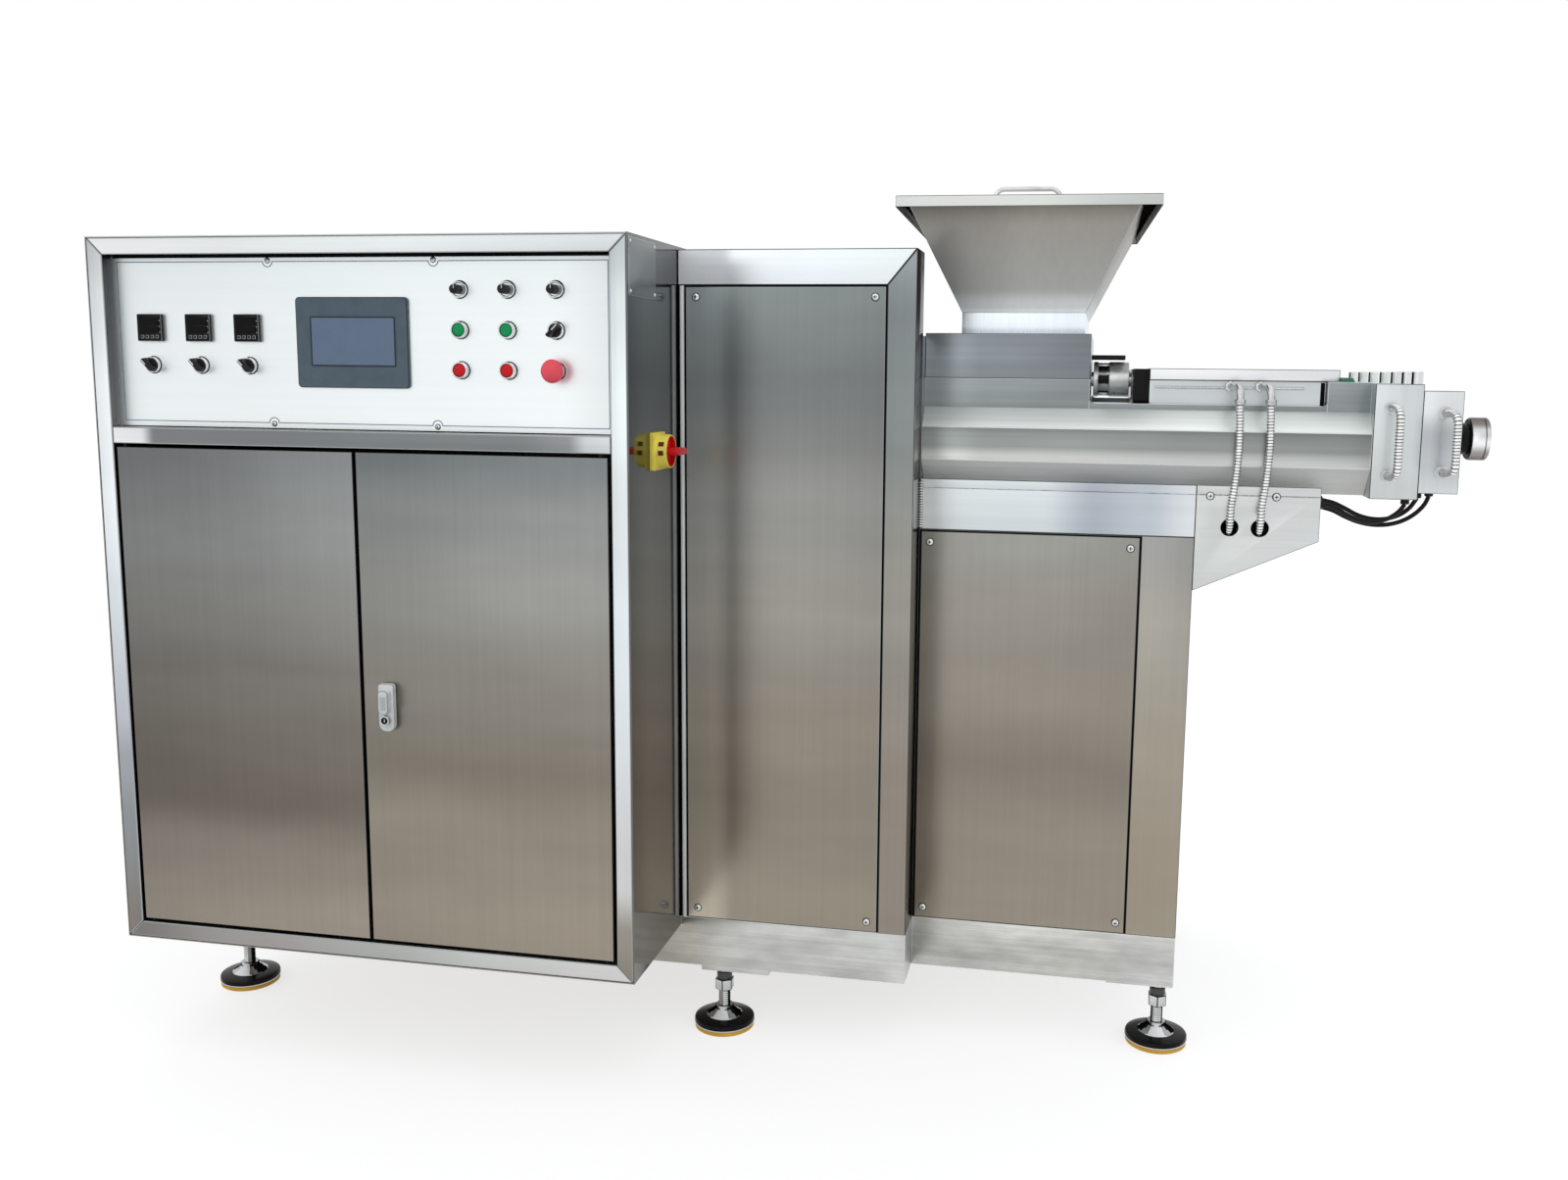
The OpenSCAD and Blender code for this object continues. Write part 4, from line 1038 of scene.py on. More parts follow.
@dataclass
class Studio:
    """Camera, pale floor and soft light.

    Attributes:
        place: Where the camera stands.
        yaw, pitch, roll: Its turn to the right, tilt downwards and roll, in degrees.
        focal: Focal length in picture widths.
        shift: Lens shift to the right and up, in picture widths.
        sensor: Width of the sensor.
    """

    place: Point = (1766.0, -2197.0, 1290.0)
    yaw: float = -10.94
    pitch: float = 8.14
    roll: float = -0.59
    focal: float = 0.88381
    shift: tuple[float, float] = (-0.0293, -0.01356)
    sensor: float = 36.0

    def camera(self) -> None:
        """Sets the camera up as the photograph was taken."""
        yaw, pitch, roll = (math.radians(angle) for angle in (self.yaw, self.pitch, self.roll))
        ahead = Vector((math.sin(yaw) * math.cos(pitch), math.cos(yaw) * math.cos(pitch), -math.sin(pitch)))
        right = Vector((math.cos(yaw), -math.sin(yaw), 0.0))
        down = ahead.cross(right)
        rolled = math.cos(roll) * right + math.sin(roll) * down
        under = -math.sin(roll) * right + math.cos(roll) * down
        bpy.ops.object.camera_add()
        eye = bpy.context.object
        eye.name = "photo camera"
        stance = Matrix((rolled, -under, -ahead)).transposed().to_4x4()
        eye.matrix_world = Matrix.Translation(spot(self.place)) @ stance
        eye.data.sensor_fit = "HORIZONTAL"
        eye.data.sensor_width = self.sensor
        eye.data.lens = self.focal * self.sensor
        eye.data.shift_x, eye.data.shift_y = self.shift
        eye.data.clip_end = 200.0
        bpy.context.scene.camera = eye
        bpy.context.scene.view_settings.view_transform = "Standard"

    @staticmethod
    def seen(board: NodeBoard) -> Socket:
        """Wires whether a ray shows the surroundings directly.

        Args:
            board: Board of a material or of the world.

        Returns:
            One for camera, glossy and transmission rays.
        """
        light = board.add("LightPath").outputs
        both = board.add("Math", {0: light["Is Camera Ray"], 1: light["Is Glossy Ray"]}, operation="MAXIMUM")
        feeds = {0: both.outputs[0], 1: light["Is Transmission Ray"]}
        return board.add("Math", feeds, operation="MAXIMUM").outputs[0]

    def surroundings(self) -> None:
        """Makes the white world and the pale floor."""
        world = bpy.data.worlds.new("white studio")
        bpy.context.scene.world = world
        world.use_nodes = True
        board = NodeBoard(world.node_tree)
        board.tree.nodes.clear()
        soft = board.add("Background", {"Color": (0.96, 0.98, 1.0, 1.0), "Strength": 0.8})
        white = board.add("Background", {"Color": (1.0, 1.0, 1.0, 1.0)})
        mix = board.add("MixShader", {"Fac": self.seen(board), 1: soft.outputs[0], 2: white.outputs[0]})
        board.add("OutputWorld", {"Surface": mix.outputs[0]})

        bpy.ops.object.select_all(action="DESELECT")
        bpy.ops.mesh.primitive_plane_add(size=60.0)
        floor = settle("studio floor")
        coat = bpy.data.materials.new("pale floor")
        coat.use_nodes = True
        board = NodeBoard(coat.node_tree)
        board.tree.nodes.clear()
        pale = board.add("BsdfDiffuse", {"Color": (0.5, 0.5, 0.5, 1.0)})
        level = board.add("Math", {0: self.seen(board), 1: 0.66}, operation="MULTIPLY")
        glow = board.add("Emission", {"Strength": level.outputs[0]})
        both = board.add("AddShader", {0: pale.outputs[0], 1: glow.outputs[0]})
        board.add("OutputMaterial", {"Surface": both.outputs[0]})
        floor.data.materials.append(coat)

    def lamps(self) -> None:
        """Hangs the soft lamps."""
        for name, place, aim, size, power in (
            ("overhead softbox", (1200.0, 300.0, 4600.0), (1200.0, 500.0, 600.0), 6.0, 26.0),
            ("front softbox", (300.0, -4800.0, 2900.0), (1200.0, 400.0, 800.0), 5.0, 20.0),
        ):
            bpy.ops.object.light_add(type="AREA")
            lamp = bpy.context.object
            lamp.name = name
            lamp.data.shape = "SQUARE"
            lamp.data.size = size
            lamp.data.energy = power
            lamp.location = spot(place)
            lamp.rotation_euler = (spot(aim) - spot(place)).to_track_quat("-Z", "Y").to_euler()

    def build(self) -> None:
        """Makes the whole studio after the camera."""
        self.surroundings()
        self.lamps()


@dataclass
class Route:
    """Centre line of a hose or cable.

    Attributes:
        points: Places that it passes, in millimetres.
    """

    points: list[Point]

    def smooth(self, count: int, steps: int = 40) -> list[Vector]:
        """Rounds the line through its points at an even spacing.

        Args:
            count: Number of points of the result.
            steps: Steps from one of its points to the next while it is measured.

        Returns:
            The rounded line, in metres.
        """
        places = [spot(point) for point in self.points]
        padded = [places[0], *places, places[-1]]
        fine: list[Vector] = []
        for before, start, end, after in zip(padded, padded[1:], padded[2:], padded[3:]):
            slope, pull = end - before, 2.0 * before - 5.0 * start + 4.0 * end - after
            twist = 3.0 * start - before - 3.0 * end + after
            for share in (step / steps for step in range(steps)):
                fine.append(0.5 * (2.0 * start + slope * share + pull * share**2 + twist * share**3))
        fine.append(places[-1])
        ways = [0.0]
        for first, second in zip(fine, fine[1:]):
            ways.append(ways[-1] + (second - first).length)
        line, at = [], 0
        for number in range(count):
            goal = ways[-1] * number / (count - 1)
            while at < len(ways) - 2 and ways[at + 1] < goal:
                at += 1
            part = (goal - ways[at]) / max(ways[at + 1] - ways[at], 1e-9)
            line.append(fine[at].lerp(fine[at + 1], min(max(part, 0.0), 1.0)))
        return line


def line_length(path: Sequence[Vector]) -> float:
    """Measures a line through its points."""
    return sum((second - first).length for first, second in zip(path, path[1:]))


@dataclass(frozen=True)
class HoseLoop:
    """A short hose that loops out at the front.

    Attributes:
        x: Where its ends stand along the machine.
        y: Where its ends stand from the front.
        radius: Radius of the loop.
        lean: How far it leans to the right.
    """

    x: float
    y: float
    radius: float
    lean: float


@dataclass(frozen=True)
class CableRun:
    """A cable that hangs between the bracket and a block.

    Attributes:
        end: Where it ends along the machine.
        y: Its distance from the front.
        under: Underside of the block that it ends at.
        sag: Shares of the way and heights there over the cables' level.
    """

    end: float
    y: float
    under: float
    sag: Pairs


HOSE_XS = (1999.92, 2052.35)
HOSE_LEAN = 6.17
LOOP_Z = 1176.5
LOOPS = (HoseLoop(2261.0, 356.0, 60.0, 2.0), HoseLoop(2350.0, 358.0, 52.0, 7.0))
BRACKET_END = 2154.0
GLAND_LONG = 12.0
CABLE_Z = 1076.0
CABLES = (
    CableRun(2304.0, 420.0, 1076.0, (
        (0, -16), (0.13, -21), (0.26, -31), (0.39, -40), (0.52, -45), (0.65, -45), (0.77, -41), (0.87, -33),
        (0.95, -23), (1, -12))),
    CableRun(2328.0, 440.0, 1087.5, (
        (0, -10), (0.13, -15), (0.26, -25), (0.38, -35), (0.51, -41), (0.64, -42), (0.76, -38), (0.86, -30),
        (0.94, -18), (1, -2))),
    CableRun(2352.0, 460.0, 1087.5, (
        (0, -24), (0.12, -30), (0.23, -40), (0.35, -49), (0.48, -54), (0.61, -54), (0.73, -49), (0.83, -40),
        (0.91, -28), (0.97, -14), (1, 0))),
)


@dataclass
class HosesAndCables:
    """Corrugated hoses and rubber cables at the outlet end.

    Attributes:
        hose_d: Diameter of the hoses.
        cable_d: Diameter of the cables.
        ring_pitch: Spacing of the hoses' rings.
        hose_points, cable_points: Points of their centre lines.
    """

    hose_d: float = 14.0
    cable_d: float = 8.0
    ring_pitch: float = 5.4
    hose_points: int = 34
    cable_points: int = 30

    @staticmethod
    def long_route(x: float) -> Route:
        """Finds the way of a long hose.

        Args:
            x: Where it enters the bracket.

        Returns:
            Its route.
        """
        top, bottom = Vector((x + HOSE_LEAN, 360.0, 1237.0)), Vector((x, 360.0, 1057.0))
        points = []
        for step in range(6):
            place = top.lerp(bottom, step / 6.0)
            points.append((place.x + 5.0 * math.sin(math.radians(30.0 * step)), place.y, place.z))
        bend = ((360, 1057), (362, 1041), (367, 1026), (374, 1015), (384, 1006), (396, 999))
        return Route(points + [(x, float(y), float(z)) for y, z in bend])

    @staticmethod
    def loop_route(loop: HoseLoop) -> Route:
        """Finds the way of a short hose.

        Args:
            loop: The hose.

        Returns:
            Its route.
        """
        shape = ((0, 1), (0.4, 1), (0.74, 0.94), (0.94, 0.78), (1, 0.52), (1, 0), (1, -0.52), (0.94, -0.78),
                 (0.74, -0.94), (0.4, -1), (0, -1))
        return Route([
            (loop.x + loop.lean * out, loop.y - loop.radius * out, LOOP_Z + loop.radius * up) for out, up in shape])

    @staticmethod
    def cable_route(run: CableRun) -> Route:
        """Finds the way of a hanging cable."""
        start = BRACKET_END + GLAND_LONG
        return Route([(start + share * (run.end - start), run.y, CABLE_Z + drop) for share, drop in run.sag])

    @staticmethod
    def tie(obj: Piece, path: Sequence[Vector], diameter: float, stiffness: str) -> None:
        """Takes a hanging cord's piece, line, diameter and stiffness, and does nothing with them."""

    def hose(self, number: str, route: Route) -> None:
        """Models one corrugated hose.

        Args:
            number: Name of the CAD node.
            route: Its route.
        """
        path = route.smooth(self.hose_points)
        length = line_length(path)
        rings = max(int(length / (self.ring_pitch * MM)) * 3 + 1, 30)
        obj = tube(
            f"{number}_corrugated", route.smooth(rings + 1), self.hose_d, Palette.hose, 3, swell=(1.0, 1.0, 0.8))
        # Painted shade: the groove rings and the faces along the hose's left and right sides get the dark groove
        # finish.
        obj.data.materials.append(Palette.groove.material())
        around = len(obj.data.vertices) // (rings + 1)
        for face in obj.data.polygons:
            groove = len(face.vertices) == 4 and min(face.vertices) // around % 3 == 2
            face.material_index = int(groove or abs(face.normal.x) > 0.85)
        hand_over(obj, "hose_steel", number)
        self.tie(obj, path, self.hose_d, "stiff")

    def cable(self, number: str, route: Route) -> None:
        """Models one rubber cable.

        Args:
            number: Name of the CAD node.
            route: Its route.
        """
        path = route.smooth(self.cable_points)
        obj = tube(f"{number}_sheath", path, self.cable_d, Palette.cable, 4)
        hand_over(obj, "black_rubber", number)
        self.tie(obj, path, self.cable_d, "medium")

    def build(self) -> None:
        """Models all hoses and cables."""
        for number, x in enumerate(HOSE_XS, 1):
            self.hose(f"long_hose_{number}", self.long_route(x))
        for number, loop in enumerate(LOOPS, 1):
            self.hose(f"short_hose_{number}", self.loop_route(loop))
        for number, run in enumerate(CABLES, 1):
            self.cable(f"cable_{number}", self.cable_route(run))


class ScrewStock:
    """Screws and bolts that are copied all over the machine."""

    @staticmethod
    def pan_screw(diameter: float, facing: float = 0.0) -> Piece:
        """Models a pan-head screw at the machine's zero point.

        Args:
            diameter: Diameter of its head.
            facing: How far it looks away from the front, in degrees around the upright.

        Returns:
            The screw.
        """
        r, tall = diameter / 2, diameter * 0.28
        head = ((0, -tall), (r * 0.45, -0.96 * tall), (r * 0.8, -0.72 * tall), (r, -0.34 * tall), (r, 0.4), (0, 0.4))
        # Painted shade: a thin black ring around the head where it meets the sheet.
        shade_ring = ((r - 0.6, -0.4), (r + 1.2, -0.4), (r + 1.2, 0.2), (r - 0.6, 0.2))
        parts = [lathe("screw head", head, ZERO, Axis.Y, Palette.hub, 20, 50.0),
                 lathe("screw seat", shade_ring, ZERO, Axis.Y, Palette.slot_shadow, 20, ring=True)]
        for long, wide in ((r * 0.5, r * 0.12), (r * 0.12, r * 0.5)):
            slot = block("screw slot", (-long, -tall - 0.1, -wide), (long, -tall * 0.6, wide))
            parts.append(dress(slot, Palette.slot_shadow))
        return turn(join("pan screw", parts), Axis.Z, facing, ZERO)

    @staticmethod
    def cap_bolt(diameter: float, height: float) -> Piece:
        """Models a socket cap bolt that looks up, at the machine's zero point.

        Args:
            diameter: Diameter of its head.
            height: Height of its head.

        Returns:
            The bolt.
        """
        r = diameter / 2
        profile = ((0, 0), (r, 0), (r, height - 1.5), (r - 1.5, height), (r * 0.56, height), (r * 0.5, height - 0.6),
                   (r * 0.5, height * 0.45), (0, height * 0.45))
        head = lathe("cap head", profile, ZERO, Axis.Z, Palette.hub, 28, 35.0)
        return paint(head, Palette.slot_shadow, lambda place, look: look.x < -0.75 or (
            place.z < height * 0.6 and look.z > 0.5))

    @staticmethod
    def spread(name: str, model: Piece, places: Sequence[Point]) -> None:
        """Copies a screw, which is used up, to its places as one piece."""
        assemble(name, copies(model, places), "bright_metal")

    def corners(
        self, name: str, xs: Sequence[float], y: float, zs: Sequence[float], facing: float = 0.0, head: float = 13.0
    ) -> None:
        """Puts pan-head screws at the corners of a cover, in columns and rows on its face."""
        self.spread(name, self.pan_screw(head, facing), [(x, y, z) for x in xs for z in zs])


SCREWS = ScrewStock()


@dataclass
class ControlCabinet:
    """Frame bars and sheets of the control cabinet.

    Attributes:
        left, right, low, high: Outer edges of the front frame.
        tube: Width of the bars.
        rail: Underside of the middle rail.
        side: Outside of the right-hand sheet.
    """

    left: float = 2.0
    right: float = 998.0
    low: float = 222.0
    high: float = 1508.0
    tube: float = 30.0
    rail: float = 1148.0
    side: float = 1000.0

    def bar(
        self, name: str, low: Sequence[float], high: Sequence[float], finish: Finish,
        *cuts: tuple[tuple[float, float], tuple[float, float]],
    ) -> Piece:
        """Models one frame bar with mitred ends.

        Args:
            name: Plain name of the bar.
            low: Its lowest corner.
            high: Its highest corner.
            finish: Its finish.
            cuts: Mitre lines in the front plane.

        Returns:
            The bar.
        """
        obj = block(name, low, high)
        middle = ((low[0] + high[0]) / 2, (low[2] + high[2]) / 2)
        for start, end in cuts:
            mitre(obj, start, end, middle)
        # The pale rims are painted shade lines along the bars' broken edges.
        return trim(obj, finish, 2.2, Palette.pale_edge, 3)

    def build(self) -> None:
        """Models the frame and dresses the sheets."""
        t, x0, x1, z0, z1 = self.tube, self.left, self.right, self.low, self.high
        low_left, low_right = ((x0, z0), (x0 + t, z0 + t)), ((x1, z0), (x1 - t, z0 + t))
        high_left, high_right = ((x0, z1), (x0 + t, z1 - t)), ((x1, z1), (x1 - t, z1 - t))
        bars = [
            self.bar("left post", (x0, 0, z0), (x0 + t, t, z1), Palette.left_post, low_left, high_left),
            self.bar("right post", (x1 - t, 0, z0), (x1, t, z1), Palette.right_post, low_right, high_right),
            self.bar("top rail", (x0, 0, z1 - t), (x1, t, z1), Palette.pale_rail, high_left, high_right),
            self.bar("bottom rail", (x0, 0, z0), (x1, t, z0 + t), Palette.sill_rail, low_left, low_right),
            self.bar("middle rail", (x0 + t, 0, self.rail), (x1 - t, t, self.rail + t), Palette.middle_rail),
        ]
        # Painted shade on the left post's inner face and a painted shadow under the top rail.
        paint(bars[0], Palette.recess_shade, facing(1, 0, 0))
        paint(bars[2], Palette.shadow_steel, facing(0, 0, -1))
        assemble("cabinet_front_frame", bars, "frame_steel", "cabinet_frame")
        carry_over(Palette.cabinet_sheet, "cabinet_left_side", "cabinet_floor", "cabinet_back")
        carry_over(Palette.mirror, "cabinet_right_side")
        carry_over(Palette.top_sheet, "cabinet_top")
        self.rating_plate()

    def rating_plate(self) -> None:
        """Models the bare plate on the cabinet's right side."""
        x, y0, y1, z0, z1, inset = self.side, 6.0, 146.0, 1409.0, 1504.0, 7.0
        plate = block("side plate", (x, y0, z0), (x + 0.8, y1, z1))
        round_corners(plate, Axis.X, 4.0, 4)
        push(plate, (1, 0, 0), 3.0, 0.2)
        parts = [trim(plate, Palette.plate, 0.8, Palette.glint, 1)]
        profile = ((0, 2.0), (1.6, 1.8), (2.8, 0.9), (3.2, -0.2), (0, -0.2))
        for y in (y0 + inset, y1 - inset):
            for z in (z0 + inset, z1 - inset):
                parts.append(lathe("rivet", profile, (x + 0.8, y, z), Axis.X, Palette.glint, 14, 60.0))
        assemble("bare_rating_plate", parts, "bright_metal")


@dataclass
class ControlPanel:
    """Panel plate, operator screen, controllers and push and turn controls.

    Attributes:
        face: Front of the panel plate.
        key_xs: Columns of the controls at the right.
        key_zs: Rows of the controls, from the lowest.
        heat_xs: Columns of the heat controls.
        heat_z: Height of the heat selectors.
        controller_z: Height of the temperature controllers.
        root: How far the controls reach in behind the plate.
    """

    face: float = 25.0
    key_xs: tuple[float, float, float] = (694.0, 780.0, 866.0)
    key_zs: tuple[float, float, float] = (1284.0, 1351.5, 1419.0)
    heat_xs: tuple[float, float, float] = (105.0, 200.0, 295.0)
    heat_z: float = 1288.0
    controller_z: float = 1353.0
    root: float = 14.0

    def outline(self) -> None:
        """Models the thin line around the panel and its screws."""
        x0, x1, z0, z1 = 42.0, 958.0, 1189.0, 1467.0
        screw_xs, half, gap, thick = (337.0, 647.0), 0.8, 9.0, 0.3
        ends = [x0, *(x + side * gap for x in screw_xs for side in (-1, 1)), x1]
        bars = [(a, b, z - half, z + half) for z in (z0, z1) for a, b in zip(ends[::2], ends[1::2])]
        bars += [(x - half, x + half, z0, z1) for x in (x0, x1)]
        parts = [dress(block("line", (a, self.face - thick, low), (b, self.face, high)), Palette.panel_line)
                 for a, b, low, high in bars]
        profile = ((gap - half, -thick), (gap + half, -thick), (gap + half, 0.0), (gap - half, 0.0))
        for z, inward in ((z0, 1), (z1, -1)):
            for place in ((x, self.face, z) for x in screw_xs):
                arc = lathe("notch", profile, place, Axis.Y, Palette.panel_line, 32, ring=True)
                parts.append(slice_off(arc, place, (0, 0, -inward)))
        # Painted shadow: black strips along the panel's top under the top rail and along its bottom above the middle
        # rail.
        for low, high in ((1473.8, 1478.0), (1178.0, 1179.8)):
            seam = block("panel shadow strip", (34.0, self.face - 0.5, low), (966.0, self.face, high))
            parts.append(dress(seam, Palette.slot_shadow))
        assemble("panel_outline", parts, "panel_steel")
        SCREWS.corners("panel_screws", screw_xs, self.face, (z0 - 2.0, z1 + 2.0), head=8.0)

    def screen(self) -> None:
        """Models the operator screen."""
        x0, x1, z0, z1, y = 390.0, 599.0, 1251.5, 1406.5, self.face
        bezel = block("bezel", (x0, y - 6, z0), (x1, y, z1))
        round_corners(bezel, Axis.Y, 7.0, 6)
        push(bezel, (0, -1, 0), 3.0, -0.8)
        trim(bezel, Palette.slate, rim=Palette.black)
        body = slab("screen body", (x0 + 8, y, z0 + 8), (x1 - 8, y + 40, z1 - 8), Palette.slate, 2.0)
        rim = block("display rim", (417.0, y - 6.4, 1288.5), (576.0, y - 4.6, 1373.5))
        round_corners(rim, Axis.Y, 2.0, 3)
        push(rim, (0, -1, 0), 2.4, -1.0)
        dress(soften(rim, 0.3, 1), Palette.dark_slate)
        glass = slab("display", (419.4, y - 5.8, 1290.9), (573.6, y - 5.0, 1371.1), Palette.display, 0.2, 1)
        assemble("operator_screen_unit", [bezel, body, rim, glass], "slate_plastic", "operator_screen")

    def controllers(self) -> None:
        """Models the three temperature controllers from one."""
        y, z = self.face, self.controller_z
        bezel = block("bezel", (-24, y - 8, z - 24), (24, y, z + 24))
        round_corners(bezel, Axis.Y, 2.5, 3)
        push(bezel, (0, -1, 0), 2.5, -1.4)
        # Painted highlight: pale rims on the black bezels and keys.
        trim(bezel, Palette.gloss_black, 0.8, Palette.pale_edge)
        parts = [bezel, slab("body", (-22, y, z - 22), (22, y + 40, z + 22), Palette.black, 1.0, 1)]
        profile = ((0, -0.7), (0.7, -0.5), (0.9, 0.6), (0, 0.6))
        for up in (-8, 2, 12):
            parts.append(lathe("lamp dot", profile, (20.0, y - 6.6, z + up), Axis.Y, Palette.white_plastic, 12))
        for low, high in ((4, 18), (-9, 2)):
            parts.append(slab("window", (-19, y - 7.2, z + low), (17, y - 6.2, z + high), Palette.window, 0.4, 1))
        for x in (-14.5, -5.0, 5.0, 14.5):
            key = block("key", (x - 3.4, y - 7.8, z - 19), (x + 3.4, y - 6.2, z - 13))
            parts.append(trim(key, Palette.black, 0.8, Palette.pale_edge))
        made = copies(join("controller", parts), [(x, 0, 0) for x in self.heat_xs])
        assemble("temperature_controller_units", made, "black_plastic", "temperature_controllers")

    def collars(self) -> None:
        """Models the bright rings of all the controls from one of each depth."""
        made = []
        zero = (0, self.face, 0)
        heat = [(x, 0, self.heat_z) for x in self.heat_xs]
        low, mid, high = ([(x, 0, z) for x in self.key_xs] for z in self.key_zs)
        # Painted shade: a thin black ring around the foot of each collar.
        shade_ring = ((14.0, -0.5), (15.6, -0.5), (15.6, 0.0), (14.0, 0.0))
        for depth, places in ((10.5, mid[:2] + low), (6.0, high), (7.0, heat + mid[2:])):
            ring = ((11.4, 1.5 - depth), (11.9, -depth), (13.4, -depth), (14.5, 1.2 - depth), (14.5, -1.4),
                    (14.1, -1.0), (14.5, 0.0), (11.4, 0.0))
            parts = [lathe("collar", ring, zero, Axis.Y, Palette.ring, 40, 30.0, True),
                     lathe("collar seat", shade_ring, zero, Axis.Y, Palette.slot_shadow, ring=True)]
            made.extend(copies(join("collar", parts), places))
        assemble("control_rings", made, "bright_metal", "control_collars")

    def button(self, node: str, x: float, z: float, finish: Finish, slot: str) -> None:
        """Models one push button.

        Args:
            node: Name of the CAD node and of its body.
            x: Its place along the panel.
            z: Its height.
            finish: Its finish.
            slot: Its material slot.
        """
        profile = ((0, -11.6), (6.0, -11.4), (9.0, -10.8), (10.4, -9.6), (11.0, -8.0), (11.0, self.root),
                   (0, self.root))
        cap = lathe(f"{node}_cap", profile, (x, self.face, z), Axis.Y, finish, 36)
        hand_over(cap, slot, node, body=node)

    def knob(self, node: str, x: float, z: float) -> None:
        """Models one fluted speed knob.

        Args:
            node: Name of the CAD node and of its body.
            x: Its place along the panel.
            z: Its height.
        """
        sides, front = 28, self.face - 24.0
        profile = ((0, -4.0), (10.6, -4.0), (10.9, -3.0), (11.0, self.root), (0, self.root))
        skirt = lathe("skirt", profile, (x, self.face, z), Axis.Y, Palette.hub, 36)
        grip = rod("grip", (x, front, z), Axis.Y, 16.0, 20.5, sides)
        middle = spot((x, 0, z))

        def fluted(place: Vector, look: Vector) -> bool:
            """Tells whether a side of the grip is a groove."""
            spoke = spot(place) - middle
            number = round(math.degrees(math.atan2(spoke.z, spoke.x)) / (360.0 / sides) - 0.5)
            return abs(look.y) < 0.3 and number % 2 == 0

        with editing(grip):
            pick_faces(grip, fluted)
            bpy.ops.mesh.inset(thickness=0.2 * MM, depth=-0.7 * MM, use_individual=True)
        dress(soften(grip, 0.7, 2, 60.0), Palette.black)
        mark = slab(
            "mark", (x - 0.7, front - 0.35, z + 1.0), (x + 0.7, front + 1.0, z + 7.4), Palette.white_plastic, 0.2, 1)
        assemble(f"{node}_grip", [skirt, grip, mark], "black_plastic", node, body=node)

    def lever(self, node: str, x: float, z: float, angle: float) -> None:
        """Models one selector with a lever.

        Args:
            node: Name of the CAD node and of its body.
            x: Its place along the panel.
            z: Its height.
            angle: Turn of the lever at rest, in degrees.
        """
        front = self.face - 24.0
        profile = ((0, -9.4), (10.2, -9.2), (11.0, -8.2), (11.0, self.root), (0, self.root))
        hub = lathe("hub", profile, (x, self.face, z), Axis.Y, Palette.black, 36)
        grip = block("lever", (x - 4.8, front, z - 14), (x + 4.8, self.face - 8, z + 14))
        taper(grip, (0, -1, 0), (0.62, 1.0, 0.94), (x, front, z))
        dress(soften(grip, 1.6, 3), Palette.black)
        mark = slab(
            "mark", (x - 1.2, front - 0.4, z + 0.5), (x + 1.2, front + 1.0, z + 13.0), Palette.white_plastic, 0.25, 1)
        obj = turn(join(f"{node}_lever", [hub, grip, mark]), Axis.Y, angle, (x, 0, z))
        hand_over(obj, "black_plastic", node, body=node)

    def mushroom(self) -> None:
        """Models the stop mushroom."""
        node = "emergency_stop"
        profile = ((0, -32), (9, -31.4), (15, -29.4), (18.6, -26.4), (20, -22.6), (19.4, -19.4), (16.5, -17.4),
                   (12, -17), (11, -16), (11, self.root), (0, self.root))
        place = (self.key_xs[2], self.face, self.key_zs[0])
        head = lathe(f"{node}_mushroom", profile, place, Axis.Y, Palette.coral, 44, 50.0)
        hand_over(head, "red_plastic", node, body=node)

    def build(self) -> None:
        """Models the panel."""
        carry_over(Palette.panel, "control_panel")
        self.outline()
        self.screen()
        self.controllers()
        self.collars()
        for number, x in enumerate(self.key_xs, 1):
            self.knob(f"speed_knob_{number}", x, self.key_zs[2])
        for number, x in enumerate(self.key_xs[:2], 1):
            self.button(f"start_button_{number}", x, self.key_zs[1], Palette.green, "green_plastic")
            self.button(f"stop_button_{number}", x, self.key_zs[0], Palette.red, "red_plastic")
        self.lever("head_selector", self.key_xs[2], self.key_zs[1], 45.0)
        for number, x in enumerate(self.heat_xs, 1):
            self.lever(f"heat_selector_{number}", x, self.heat_z, -45.0)
        self.mushroom()


